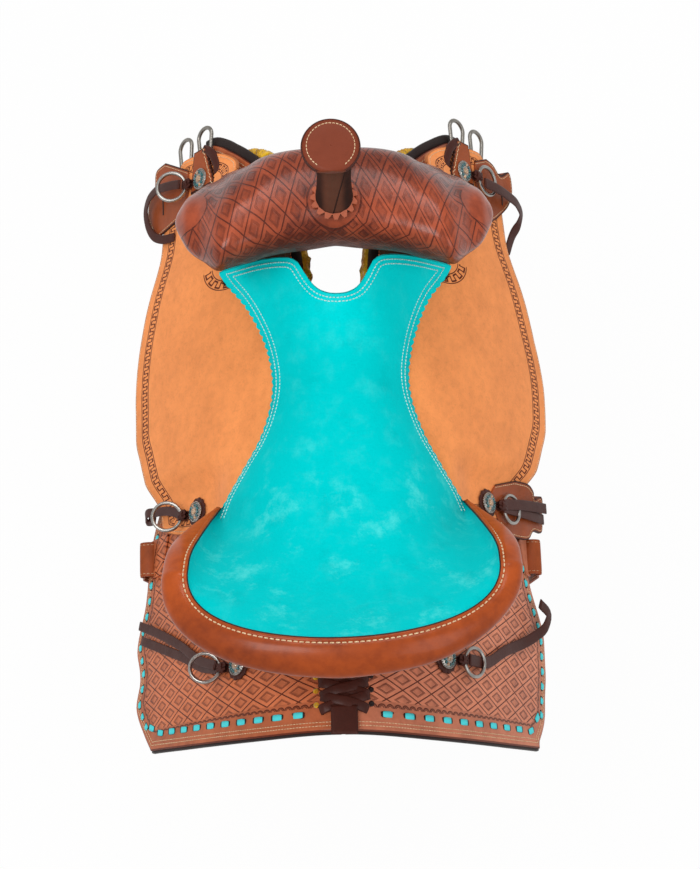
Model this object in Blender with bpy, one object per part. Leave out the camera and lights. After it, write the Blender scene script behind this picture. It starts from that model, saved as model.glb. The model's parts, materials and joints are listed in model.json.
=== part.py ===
"""Barrel racing saddle with a slim horn, tooled swell and skirts, deep padded seat and hanging stirrups.

Metres. +Y points to the horn, +X to the rider's right, +Z up. The origin is on the ridge line of the
horse's back, under the front half of the seat. Every layer lies on one arched back surface.
"""
import math

import bmesh
import bpy
import numpy as np

# Clearances
GAP = 0.0004  # between pieces with matching grids
LAY = 0.0006  # between pieces that lie on each other with grids of their own

# Arched back surface that the layers lie on
RIDGE = 0.0
ROCK = 0.25
FALL = 2.855
FALL_POWER = 1.6

# Layer thicknesses, measured square to the back surface
FLEECE = 0.0128
SKIRT = 0.0056
SKIRT_LOW = FLEECE + LAY
SKIRT_TOP = SKIRT_LOW + SKIRT
BAR_LOW = SKIRT_TOP + LAY
BAR_TOP = BAR_LOW + 0.0185
JOCKEY = 0.0040
JOCKEY_HIGH = BAR_TOP + LAY
JOCKEY_REAR = SKIRT_TOP + 0.0050
JOCKEY_FRONT = SKIRT_TOP + 0.0082

# Seat
SEAT_CORNER_Y = 0.207
SEAT_FRONT_Y = 0.136
SEAT_WIDTH = 0.150
CANTLE_Y = -0.150
CANTLE_DEPTH = 0.073
RIM_AHEAD = 0.100
SUEDE = 0.0025
FOAM = 0.0090
GROUND = 0.0040
SEAT_LOW_Z = 0.066
CANTLE_TOP_Z = 0.166
CANTLE_SIDE_Z = 0.122

# Cantle roll
ROLL_REAR = 0.037
ROLL_SIDE = 0.0255
ROLL_THICK = 0.013

# Swell, fork and horn
SWELL_HALF = 0.1605
SWELL_TOP_Z = 0.158
GULLET_Z = 0.084
COVER = 0.0030
HORN_Y = 0.214
HORN_LEAN = math.radians(13)
HORN_TOP_Z = 0.252
CAP_R = 0.0267
CAP_THICK = 0.0095
NECK_R = 0.0150
NECK_BASE_R = 0.0172
WRAP = 0.0030

# Rings, strings, conchos and dees
CONCHO_R = 0.0112
CONCHO_THICK = 0.0036
POST = 0.0026
RING_R = 0.0152
RING_WIRE = 0.0015
STRING_THICK = 0.0016
STRING_WIDTH = 0.0090
DEE_WIRE = 0.0022
DEE_WIDTH = 0.024
DEE_DEPTH = 0.034
DEE_Y = 0.3525

# Fenders and stirrups
FENDER_Y = 0.090
STRAP_WIDTH = 0.066
LEATHER = 0.0035
LEATHER_LOW = SKIRT_TOP + 0.0045
FENDER = 0.0032
HANG_X = 0.176
FENDER_END_Z = -0.485
BOLT_Z = -0.555
BOLT_R = 0.0040
STIRRUP_INSIDE = 0.078
TREAD_INSIDE = 0.122
STIRRUP_HEIGHT = 0.125
STIRRUP_WALL = 0.0085

LEFT_RIGHT = (("left", -1.0), ("right", 1.0))

TAN = (0.80, 0.36, 0.13)
WOOD = (0.62, 0.42, 0.22)
BROWN = (0.33, 0.12, 0.06)
DARK = (0.07, 0.035, 0.03)
STEEL = (0.55, 0.54, 0.52)


def smooth(keys, values, t):
    """Interpolates values at the rising keys with a smooth curve that stays between its points."""
    keys = np.asarray(keys, float)
    values = np.asarray(values, float)
    t = np.clip(t, keys[0], keys[-1])
    step = np.diff(keys)
    slope = np.diff(values) / step
    tangent = np.zeros_like(values)
    tangent[1:-1] = (slope[:-1] + slope[1:]) / 2
    tangent[1:-1][slope[:-1] * slope[1:] <= 0] = 0
    tangent[0] = slope[0]
    tangent[-1] = slope[-1]
    i = np.clip(np.searchsorted(keys, t, side="right") - 1, 0, len(step) - 1)
    h = step[i]
    f = (t - keys[i]) / h
    return (
        (2 * f**3 - 3 * f**2 + 1) * values[i]
        + (f**3 - 2 * f**2 + f) * h * tangent[i]
        + (3 * f**2 - 2 * f**3) * values[i + 1]
        + (f**3 - f**2) * h * tangent[i + 1]
    )


def ramp(t, start, end):
    """0 before start, 1 after end and a smooth step between; start may be the larger one."""
    f = np.clip((np.asarray(t, float) - start) / (end - start), 0, 1)
    return f * f * (3 - 2 * f)


def back_z(x, y):
    return RIDGE + ROCK * y * y - FALL * np.abs(x) ** FALL_POWER


def lean(x):
    """Outward and upward parts of the back surface's normal at x."""
    slope = FALL * FALL_POWER * np.abs(x) ** (FALL_POWER - 1)
    size = np.sqrt(1 + slope * slope)
    return slope / size, 1 / size


def drape(x, y, n):
    """World points at height n above the back surface at (x, y), for x on the right side."""
    x, y, n = np.broadcast_arrays(np.asarray(x, float), y, n)
    out, up = lean(x)
    return np.stack([x + n * out, y, back_z(x, y) + n * up], -1)


def foot(world_x, n):
    """The x on the back surface under a point at height n whose own x is world_x."""
    x = np.asarray(world_x, float)
    for _ in range(40):
        x = 0.5 * x + 0.5 * np.maximum(world_x - n * lean(x)[0], 0)
    return x


def mirrored(points, side):
    return np.asarray(points, float) * np.array([side, 1, 1])


def finish(obj, color, rough, metal):
    """Gives the object a material of its own and smooth shading with sharp creases kept."""
    material = bpy.data.materials.new(obj.name)
    material.use_nodes = True
    shader = material.node_tree.nodes["Principled BSDF"]
    shader.inputs["Base Color"].default_value = (*color, 1)
    shader.inputs["Roughness"].default_value = rough
    shader.inputs["Metallic"].default_value = metal
    obj.data.materials.append(material)
    obj.data.shade_smooth()
    obj.data.set_sharp_from_angle(angle=math.radians(42))


def solid(name, verts, faces, color, rough=0.6, metal=0.0, pivot=(0, 0, 0)):
    """Makes one named closed object, with its origin at pivot."""
    mesh = bpy.data.meshes.new(name)
    mesh.from_pydata((np.asarray(verts) - np.array(pivot)).tolist(), [], faces)
    work = bmesh.new()
    work.from_mesh(mesh)
    bmesh.ops.remove_doubles(work, verts=work.verts, dist=2e-6)
    loose = [v for v in work.verts if not v.link_faces]
    bmesh.ops.delete(work, geom=loose, context="VERTS")
    bmesh.ops.recalc_face_normals(work, faces=work.faces)
    work.to_mesh(mesh)
    work.free()
    obj = bpy.data.objects.new(name, mesh)
    obj.location = pivot
    bpy.context.scene.collection.objects.link(obj)
    finish(obj, color, rough, metal)
    return obj


def skin(rows, closed=False):
    """Points and faces of a skin over sections with equal point counts, capped unless it is closed."""
    rows = np.asarray(rows, float)
    count, sides = rows.shape[:2]
    faces = []
    for i in range(count if closed else count - 1):
        k = (i + 1) % count
        for j in range(sides):
            m = (j + 1) % sides
            faces.append((i * sides + j, i * sides + m, k * sides + m))
            faces.append((i * sides + j, k * sides + m, k * sides + j))
    if not closed:
        faces.append(tuple(range(sides)))
        faces.append(tuple(range((count - 1) * sides, count * sides))[::-1])
    return rows.reshape(-1, 3), faces


def sheet(outer, inner, keep=None):
    """Points and faces of a sheet between two matching grids; keep marks the cells with material."""
    outer = np.asarray(outer, float)
    inner = np.asarray(inner, float)
    rows, cols = outer.shape[:2]
    if keep is None:
        keep = np.ones((rows - 1, cols - 1), bool)
    top = np.arange(rows * cols).reshape(rows, cols)
    low = top + rows * cols
    padded = np.pad(keep, 1)
    faces = []
    for i in range(rows - 1):
        for j in range(cols - 1):
            if not keep[i, j]:
                continue
            ring = [(i, j), (i, j + 1), (i + 1, j + 1), (i + 1, j)]
            a, b, c, d = (int(top[p]) for p in ring)
            faces += [(a, b, c), (a, c, d)]
            a, b, c, d = (int(low[p]) for p in ring)
            faces += [(c, b, a), (d, c, a)]
            beside = (
                padded[i, j + 1],
                padded[i + 1, j + 2],
                padded[i + 2, j + 1],
                padded[i + 1, j],
            )
            for k in range(4):
                if not beside[k]:
                    a, b = ring[k], ring[(k + 1) % 4]
                    faces.append((int(top[b]), int(top[a]), int(low[a]), int(low[b])))
    return np.concatenate([outer.reshape(-1, 3), inner.reshape(-1, 3)]), faces


def tube(path, radius, sides=8, closed=False):
    """Points and faces of a round wire along a path."""
    path = np.asarray(path, float)
    if closed:
        ahead = np.roll(path, -1, 0) - np.roll(path, 1, 0)
    else:
        ahead = np.gradient(path, axis=0)
    ahead /= np.linalg.norm(ahead, axis=1)[:, None]
    flat = np.linalg.svd(path - path.mean(0))[2][2]
    across = np.cross(ahead, flat)
    across /= np.linalg.norm(across, axis=1)[:, None]
    up = np.cross(across, ahead)
    angle = np.arange(sides) * 2 * math.pi / sides
    ring = (
        np.cos(angle)[None, :, None] * across[:, None, :]
        + np.sin(angle)[None, :, None] * up[:, None, :]
    )
    return skin(path[:, None, :] + radius * ring, closed)


def strap(path, width_way, width, thick, closed=False):
    """Points and faces of a flat strap; the path is its middle line and width_way its width's direction."""
    path = np.asarray(path, float)
    width_way = np.asarray(width_way, float)
    if closed:
        ahead = np.roll(path, -1, 0) - np.roll(path, 1, 0)
    else:
        ahead = np.gradient(path, axis=0)
    face = np.cross(ahead, width_way)
    face /= np.linalg.norm(face, axis=1)[:, None]
    width = np.broadcast_to(width, len(path))[:, None] / 2
    w = width * width_way
    t = thick / 2 * face
    return skin(np.stack([path + w + t, path - w + t, path - w - t, path + w - t], 1), closed)


def revolve(profile, steps=24):
    """Points and faces of a closed profile of (radius, height) turned round the local z axis."""
    profile = np.asarray(profile, float)
    angle = np.arange(steps) * 2 * math.pi / steps
    rows = [
        np.stack([profile[:, 0] * math.cos(a), profile[:, 0] * math.sin(a), profile[:, 1]], -1)
        for a in angle
    ]
    return skin(rows, True)


def placed(verts, origin, x_way, y_way, z_way):
    """Carries local points into the world frame given by an origin and three directions."""
    return np.asarray(origin) + np.asarray(verts) @ np.array([x_way, y_way, z_way], float)


def local_frame(x, y, n, side):
    """Origin and directions (down the slope, along Y, off the surface) of a spot on the saddle's side."""
    out, up = lean(x)
    origin = mirrored(drape(x, y, n), side)
    along = np.array([0, 1.0, 2 * ROCK * y])
    along /= np.linalg.norm(along)
    down_way = np.array([side * up, 0, -out])
    off = np.cross(down_way, along) * side
    off /= np.linalg.norm(off)
    return origin, down_way, along, off


def jockey_low(x, y):
    """Height of the underside of the seat jockeys above the back surface."""
    ends = JOCKEY_REAR + (JOCKEY_HIGH - JOCKEY_REAR) * ramp(y, -0.015, 0.022)
    ahead = JOCKEY_FRONT + (JOCKEY_HIGH - JOCKEY_FRONT) * ramp(y, 0.30, 0.20)
    ends = np.where(y > 0.1, ahead, ends)
    return ends + (JOCKEY_HIGH - ends) * ramp(x, 0.115, 0.080) * ramp(y, 0.335, 0.305)


def jockey_top_z(world_x, y):
    x = foot(world_x, JOCKEY_HIGH + JOCKEY)
    n = jockey_low(x, y) + JOCKEY
    x = foot(world_x, n)
    return drape(x, y, n)[..., 2]


# Clear the scene
for old in list(bpy.data.objects):
    bpy.data.objects.remove(old)


# Fleece linings and skirts
def skirt_grid(n, inset, half_gap):
    """Grid of a skirt layer at height n, with its edges moved in by inset."""
    v = np.linspace(0, 1, 14)[None, :]
    past_dees = DEE_Y + np.array([-0.0255, -0.0025, 0.0145, 0.0225, 0.0235, -0.0025])
    front = smooth([0, 0.2, 0.45, 0.62, 0.8, 1], past_dees, v)
    rear = smooth([0, 0.4, 0.8, 1], [-0.2915, -0.2870, -0.2770, -0.2700], v)
    u = np.array([0, 0.04, 0.12, 0.22, 0.34, 0.46, 0.57, 0.67, 0.76, 0.85, 0.94, 1])
    y = (front - inset) + (rear - front + 2 * inset) * u[:, None]
    low = smooth(
        [-0.272, -0.250, -0.225, -0.190, -0.160, -0.100, -0.045, 0.02, 0.12, 0.24, 0.31, 0.38],
        [0.1850, 0.1935, 0.2005, 0.2055, 0.2055, 0.1910, 0.1835, 0.174, 0.172, 0.170, 0.160, 0.142],
        y,
    )
    inner = inner_edge(half_gap, y)
    x = inner + (low - inset - inner) * v
    return drape(x, y, n)


def inner_edge(half_gap, y):
    """Half width of the open channel between the sides; it widens in front and closes behind the seat."""
    wider = half_gap + np.array([0, 0, 0.008, 0.023, 0.040])
    return smooth(
        [-0.26, -0.232, -0.205, -0.15, -0.08, 0.18, 0.25, 0.30, 0.35],
        [0.001, 0.001, 0.030, 0.030, *wider],
        y,
    )


for word, side in LEFT_RIGHT:
    low = mirrored(skirt_grid(0.0, 0.003, 0.026), side)
    top = mirrored(skirt_grid(FLEECE, 0.003, 0.026), side)
    solid(f"fleece_{word}", *sheet(top, low), (0.80, 0.50, 0.06), 0.95)
    low = mirrored(skirt_grid(SKIRT_LOW, 0.0, 0.034), side)
    top = mirrored(skirt_grid(SKIRT_TOP, 0.0, 0.034), side)
    solid(f"skirt_{word}", *sheet(top, low), (0.50, 0.17, 0.07), 0.45)

# Rear lacing, a woven band over the seam of the two skirts
LACE_Y = np.linspace(-0.234, -0.2915, 15)[:, None]
LACE_X = np.linspace(-0.0125, 0.0125, 13)[None, :]
weave = 0.0011 * np.abs(np.sin(LACE_X * math.pi / 0.0050)) * (LACE_Y > -0.268)
lace_n = SKIRT_TOP + LAY + 0.0024 + weave
lace_top = drape(np.abs(LACE_X), LACE_Y, lace_n)
lace_low = drape(np.abs(LACE_X), LACE_Y, lace_n * 0 + SKIRT_TOP + LAY)
for grid in (lace_top, lace_low):
    grid[..., 0] *= np.sign(LACE_X)
solid("skirt_lacing", *sheet(lace_top, lace_low), DARK, 0.5)

# Tree bars, with a groove round each for the stirrup leather
GROOVE = 0.0052
for word, side in LEFT_RIGHT:
    y = [0.298, 0.290, 0.27, 0.23, 0.18, 0.139, 0.136, 0.11, 0.07, 0.044, 0.041]
    y = np.array([*y, 0, -0.05, -0.1, -0.15, -0.18, -0.192])[:, None]
    t = np.array([0, 0.12, 0.3, 0.5, 0.7, 0.88, 1])[None, :]
    xo = smooth(
        [-0.192, -0.15, -0.05, 0.09, 0.2, 0.27, 0.30],
        [0.080, 0.098, 0.092, 0.085, 0.094, 0.102, 0.088],
        y,
    )
    x = 0.036 + (xo - 0.036) * t
    groove = GROOVE * ((y < 0.138) & (y > 0.043))
    crown = 1 - np.abs(2 * t - 1) ** 3
    height = np.minimum(0.0105 + 0.008 * crown, 0.0185)
    rear = 0.0075 * ramp(y, -0.09, -0.14)
    top = drape(x, y, BAR_LOW + height - rear - groove)
    low = drape(x, y, BAR_LOW + groove * 0.85)
    bar = sheet(mirrored(top, side), mirrored(low, side))
    solid(f"tree_bar_{word}", *bar, WOOD, 0.7)


# Fork and swell cover
def swell_sections(grow):
    """Closed sections across the swell, from the left end to the right; grow moves the skin outwards."""
    half = [0.0, 0.0095, 0.028, 0.045, 0.062, 0.072, 0.082, 0.092]
    half += [0.104, 0.116, 0.127, 0.137, 0.147, 0.155, 0.1605]
    half = np.array(half)
    a = np.concatenate([half[:0:-1], half])
    half[9:] = 0.104 + (half[9:] - 0.104) * (SWELL_HALF - 0.104) / 0.0565
    x = np.concatenate([-half[:0:-1], half])
    on_bar = BAR_TOP + LAY
    foot_z = drape(foot(np.maximum(a, 0.088), on_bar), 0.28, on_bar)[..., 2]
    arch = GULLET_Z - np.array([0, 0.004, 0.017, 0.048, 0.084])
    under = smooth([0, 0.045, 0.062, 0.082, 0.092], arch, a)
    outside = smooth([0.116, 0.127, 0.147, 0.1605], [-0.1, 0.026, 0.066, 0.090], a)
    under = np.where(a > 0.081, np.maximum(foot_z, outside), under)
    crest = SWELL_TOP_Z - np.array([0, 0.003, 0.008, 0.015, 0.026, 0.044, 0.060])
    over = smooth([0, 0.04, 0.08, 0.115, 0.137, 0.152, 0.1605], crest, a)
    mid_y = smooth([0, 0.07, 0.12, 0.1605], [0.2345, 0.2320, 0.2230, 0.2140], a)
    deep = smooth(
        [0, 0.06, 0.10, 0.135, 0.152, 0.1605],
        [0.0470, 0.0465, 0.0450, 0.0380, 0.0250, 0.0110],
        a,
    )
    angle = np.linspace(0, 2 * math.pi, 21)[:-1]
    c = np.cos(angle)
    s = np.sin(angle)
    power = 2 / 2.7
    ring_y = np.sign(c) * np.abs(c) ** power
    ring_z = np.sign(s) * np.abs(s) ** power
    mid_z = (over + under) / 2
    high = (over - under) / 2
    rows = np.empty((len(x), len(angle), 3))
    rows[..., 0] = (x * (1 + grow / SWELL_HALF))[:, None]
    rows[..., 1] = mid_y[:, None] + (deep + grow)[:, None] * ring_y
    rows[..., 2] = mid_z[:, None] + (high + grow)[:, None] * ring_z
    lean_back = smooth([0.05, 0.10], [0.10, 0.34], a)
    rows[..., 1] -= lean_back[:, None] * (rows[..., 2] - mid_z[:, None])
    return rows


fork = swell_sections(0.0)
solid("tree_fork", *skin(fork), WOOD, 0.7)


def swell_skin(grow):
    """The swell's skin as a grid that runs over the top from the front lip to the rear lip."""
    rows = swell_sections(grow)
    order = np.arange(-3, 14) % rows.shape[1]
    return rows[:, order]


outer_skin = swell_skin(GAP + COVER)
inner_skin = swell_skin(GAP)
keep = np.ones((outer_skin.shape[0] - 1, outer_skin.shape[1] - 1), bool)
middle = outer_skin.shape[0] // 2
keep[middle - 1 : middle + 1, 8:10] = False
solid("swell_cover", *sheet(outer_skin, inner_skin, keep), (0.28, 0.09, 0.045), 0.3)

# Horn, its cap cover and its neck wrap, all round one leaning axis
right_way = np.array([1.0, 0, 0])
front_way = np.array([0, 1.0, 0])
up_way = np.array([0, math.tan(HORN_LEAN), 1.0])
NECK_BASE_Z = SWELL_TOP_Z + GAP + COVER + 0.0008
NECK_LONG = HORN_TOP_Z - CAP_THICK - NECK_BASE_Z
base = np.array([0, HORN_Y, NECK_BASE_Z])
core_r = NECK_R - WRAP - GAP
core_foot = SWELL_TOP_Z + 0.0008 - NECK_BASE_Z
core = [
    (0.0, core_foot),
    (core_r * 0.6, core_foot),
    (core_r * 0.6, 0.0),
    (core_r, 0.0012),
    (core_r, NECK_LONG + 0.0004),
    (0.0, NECK_LONG + 0.0004),
]
core_points, core_faces = revolve(core, 16)
core_points = placed(core_points, base, right_way, front_way, up_way)
solid("horn_core", core_points, core_faces, STEEL, 0.4, 1.0)
wrap = [
    (core_r + GAP, 0.0),
    (NECK_BASE_R + 0.0006, 0.0),
    (NECK_BASE_R - 0.0006, 0.004),
    (NECK_R - 0.0004, NECK_LONG * 0.45),
    (NECK_R + 0.0003, NECK_LONG * 0.8),
    (NECK_R + 0.0016, NECK_LONG - 0.003),
    (core_r + GAP, NECK_LONG - 0.003),
]
wrap_points, wrap_faces = revolve(wrap, 28)
wrap_points = placed(wrap_points, base, right_way, front_way, up_way)
solid("horn_neck_wrap", wrap_points, wrap_faces, (0.12, 0.05, 0.03), 0.75)
cap_base = base + up_way * NECK_LONG
cap = [
    (0.0, 0.0),
    (CAP_R - 0.006, -0.0005),
    (CAP_R - 0.002, 0.0010),
    (CAP_R, 0.0040),
    (CAP_R - 0.0012, CAP_THICK - 0.0022),
    (CAP_R - 0.0045, CAP_THICK - 0.0006),
    (CAP_R * 0.5, CAP_THICK),
    (0.0, CAP_THICK),
]
cap_up = np.array([0, -math.sin(math.radians(3)), math.cos(math.radians(3))])
cap_front = np.array([0, math.cos(math.radians(3)), math.sin(math.radians(3))])
cap_base = cap_base + cap_up * 0.0016
cap_points, cap_faces = revolve(cap, 32)
cap_points = placed(cap_points, cap_base, right_way, cap_front, cap_up)
solid("horn_cap", cap_points, cap_faces, (0.22, 0.06, 0.04), 0.4)


# Seat layers, on one grid over the pocket between the swell and the cantle rim
SEAT_U = np.array([0, 0.14, 0.24, 0.31, 0.36, 0.46, 0.60, 0.74, 0.87, 1.0])
SEAT_U = np.concatenate([-SEAT_U[:0:-1], SEAT_U])
SEAT_V = [0, 0.04, 0.11, 0.21, 0.32, 0.43, 0.54, 0.63, 0.71, 0.78, 0.84, 0.90, 0.95, 0.98, 1]
SEAT_V = np.array(SEAT_V)


def half_width(y):
    """Half width of the seat, scalloped in at the waist."""
    at = [-0.150, -0.130, -0.115, -0.100, -0.085, -0.060, -0.040, -0.015, 0.013, 0.048]
    wide = [0.150, 0.1490, 0.1460, 0.1415, 0.1370, 0.1290, 0.1200, 0.1040, 0.0865, 0.0735]
    at, wide = at + [0.072, 0.104, 0.134, 0.165], wide + [0.0705, 0.0745, 0.0835, 0.0975]
    wide = smooth(at + [0.190, SEAT_CORNER_Y], wide + [0.1118, 0.1185], y)
    return SEAT_WIDTH / 0.150 * wide


def seat_plan(u, v):
    """World x and y of a seat point; u runs across from -1 to 1, v from the front edge to the rim."""
    a = np.abs(u)
    lobes = 0.1865 + (SEAT_CORNER_Y - 0.1865) * np.clip((a - 0.50) / 0.50, 0, 1)
    bowl = smooth([0, 0.1, 0.2, 0.26, 0.31, 0.36, 0.42, 0.50], [1, 0.97, 0.80, 0.58, 0.34, 0.12, 0.02, 0], a)
    cut = (0.1865 - SEAT_FRONT_Y) * bowl
    rim = CANTLE_Y - CANTLE_DEPTH * np.clip(1 - a**2.1, 0, 1) ** (1 / 2.1)
    y = (lobes - cut) * (1 - v) + rim * v
    return u * half_width(y), y


def seat_z(u, v):
    """Height of the seat's top: a low middle, sides that meet the jockeys, and a high rim behind."""
    a = np.abs(u)
    rise = CANTLE_TOP_Z - SEAT_LOW_Z
    middle = SEAT_LOW_Z + rise * smooth([0.30, 0.6, 0.8, 0.92, 1], [0, 0.09, 0.34, 0.68, 1], v)
    middle = middle + 1.5 * np.maximum(seat_plan(u, v)[1] - 0.03, 0) ** 2
    x, y = seat_plan(np.sign(u) + (u == 0), v)
    resting = jockey_top_z(np.abs(x), np.maximum(y, -0.07)) + SUEDE + LAY + 0.0003
    rim = smooth([0.64, 0.69, 0.745, 0.79, 0.86, 0.93, 1], [0, 0.05, 0.27, 0.47, 0.72, 0.90, 1], v)
    side = resting + (CANTLE_SIDE_Z - resting) * rim
    return middle + (side - middle) * a ** (1.9 + 0.6 * v)


def seat_layer(depth, i, j):
    """Grid of the seat's surface lowered by depth, without i columns and j rows at its edges."""
    u = SEAT_U[i : len(SEAT_U) - i][None, :]
    v = SEAT_V[j[0] : len(SEAT_V) - j[1]][:, None]
    x, y = seat_plan(u, v)
    z = seat_z(u, v)
    steep = 1 + 1.1 * ramp(v, 0.75, 0.95) + 0.9 * ramp(np.abs(u), 0.5, 1.0) * ramp(v, 0.6, 0.85)
    return np.stack(np.broadcast_arrays(x, y, z - depth * steep), -1)


SEAT_LAYERS = (
    ("seat_suede", 0.0, SUEDE, 0, (0, 0), (0.0, 0.60, 0.62)),
    ("seat_foam", SUEDE + GAP, FOAM, 3, (1, 2), (0.75, 0.70, 0.55)),
    ("ground_seat", SUEDE + FOAM + 2 * GAP, GROUND, 3, (1, 4), (0.35, 0.2, 0.12)),
)
for name, depth, thick, i, j, color in SEAT_LAYERS:
    layer = sheet(seat_layer(depth, i, j), seat_layer(depth + thick, i, j))
    solid(name, *layer, color, 0.9)


# Cantle: tree cantle, its back leather and the roll round the rim
def rim_path(s):
    """Rim point, outward direction and rim height; s runs from -1 at the left front to 1."""
    a = np.clip(np.abs(s) / 0.74, 0, 1) * math.pi / 2
    x = SEAT_WIDTH * np.sin(a) ** (2 / 2.1)
    y = CANTLE_Y - CANTLE_DEPTH * np.cos(a) ** (2 / 2.1)
    ahead = np.clip((np.abs(s) - 0.74) / 0.26, 0, 1)
    y = y + ahead * RIM_AHEAD
    x = np.where(ahead > 0, half_width(y), x)
    v = np.where(ahead > 0, (SEAT_CORNER_Y - y) / (SEAT_CORNER_Y - CANTLE_Y), 1.0)
    u = np.where(ahead > 0, 1.0, x / SEAT_WIDTH)
    return np.sign(s) * x, y, seat_z(u, v)


def rim_rows(s, shift, drop):
    """Points beside the rim: shift metres out from it and drop metres below it."""
    x, y, z = rim_path(s)
    step = 1e-4
    ax, ay, _ = rim_path(np.clip(s - step, -1, 1))
    bx, by, _ = rim_path(np.clip(s + step, -1, 1))
    size = np.hypot(bx - ax, by - ay)
    nx, ny = (by - ay) / size, -(bx - ax) / size
    flip = np.where(nx * x + ny * (y + 0.10) < 0, -1, 1)
    return np.stack([x + shift * nx * flip, y + shift * ny * flip, z - drop], -1)


RIM_S = np.array([-1, -0.96, -0.91, -0.857, -0.8, -0.74, -0.68, -0.6, -0.5, -0.38, -0.25, -0.12, 0])
RIM_S = np.concatenate([RIM_S, -RIM_S[-2::-1]])
roll_wide = [ROLL_REAR, 0.030, ROLL_SIDE, 0.0235, 0.0175, 0.0110, 0.0045]
roll_wide = smooth([0, 0.45, 0.74, 0.82, 0.89, 0.95, 1], roll_wide, np.abs(RIM_S))
roll_high = smooth([0, 0.74, 0.87, 1], [ROLL_THICK, ROLL_THICK, 0.011, 0.005], np.abs(RIM_S))
ring = np.linspace(0, 2 * math.pi, 15)[:-1]
roll = []
for turn in ring:
    out = 0.5 + 0.5 * math.copysign(abs(math.cos(turn)) ** 0.75, math.cos(turn))
    rise = math.copysign(abs(math.sin(turn)) ** 0.75, math.sin(turn))
    shift = GAP + 0.0006 + roll_wide * out
    drop = 0.0035 + 0.36 * roll_wide * out**2 - roll_high / 2 * rise
    roll.append(rim_rows(RIM_S, shift, drop))
solid("cantle_roll", *skin(np.stack(roll, 1)), (0.33, 0.09, 0.04), 0.25)

BACK_S = RIM_S[3:-3]
BACK_HIGH = 0.030


def cantle_wall(depth, t):
    """Cantle back surface moved in by depth; t runs from under the roll down to the bars."""
    s = BACK_S
    head = rim_rows(s, 0.0085 - depth, BACK_HIGH)
    base_line = rim_rows(s, -0.020 - depth, 0)
    out_x = np.abs(base_line[:, 0])
    n = BAR_TOP - 0.0075 * ramp(base_line[:, 1], -0.09, -0.14) + LAY
    base_line[:, 2] = drape(foot(out_x, n), base_line[:, 1], n)[:, 2]
    return head[None] * (1 - t)[:, None, None] + base_line[None] * t[:, None, None]


down = np.linspace(0, 1, 6)
back = sheet(cantle_wall(0, down), cantle_wall(0.0032, down))
solid("cantle_back", *back, (0.33, 0.1, 0.05), 0.4)
wood_down = np.linspace(0.02, 0.93, 5)
wood = np.concatenate([cantle_wall(0.0038, wood_down), cantle_wall(0.0123, wood_down)[::-1]])
solid("tree_cantle", *skin(np.swapaxes(wood, 0, 1)[2:-2]), WOOD, 0.7)


# Seat jockeys, one rough-out panel each side
def jockey_grid(n, side):
    v = np.linspace(0, 1, 13)[None, :]
    front = smooth([0, 0.25, 0.6, 0.85, 1], [0.310, 0.334, 0.358, 0.362, 0.345], v)
    rear = smooth([0, 0.35, 0.6, 0.85, 1], [-0.078, -0.060, -0.050, -0.030, 0.004], v)
    u = [0, 0.05, 0.12, 0.20, 0.28, 0.34, 0.38, 0.42, 0.47, 0.53, 0.60, 0.68, 0.76, 0.83]
    u = np.array([*u, 0.88, 0.94, 1])
    y = front + (rear - front) * u[:, None]
    outer = smooth(
        [-0.03, 0.005, 0.044, 0.075, 0.109, 0.142, 0.177, 0.217, 0.26, 0.294, 0.32, 0.356],
        [0.158, 0.1745, 0.184, 0.1895, 0.1895, 0.187, 0.1805, 0.171, 0.1625, 0.1615, 0.158, 0.146],
        y,
    )
    tucked = np.maximum(half_width(np.maximum(y, -0.05)) - 0.020, 0.03)
    under_seat = foot(tucked, JOCKEY_HIGH + JOCKEY)
    around_fork = smooth([0.15, 0.285, 0.315, 0.36], [0.104, 0.102, 0.080, 0.080], y)
    inner = under_seat + (around_fork - under_seat) * ramp(y, 0.168, 0.200)
    x = inner + (outer - inner) * v
    return mirrored(drape(x, y, jockey_low(x, y) + n), side)


for word, side in LEFT_RIGHT:
    solid(f"jockey_{word}", *sheet(jockey_grid(JOCKEY, side), jockey_grid(0, side)), TAN, 0.85)

# Conchos, string loops and rings: front, middle and rear on each side
SPOTS = (("front", 0.115, 0.326), ("middle", 0.129, -0.032), ("rear", 0.090, -0.208))


def surface_top(place):
    tops = {"front": JOCKEY_FRONT, "middle": JOCKEY_REAR, "rear": SKIRT_TOP - JOCKEY}
    return tops[place] + JOCKEY


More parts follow.
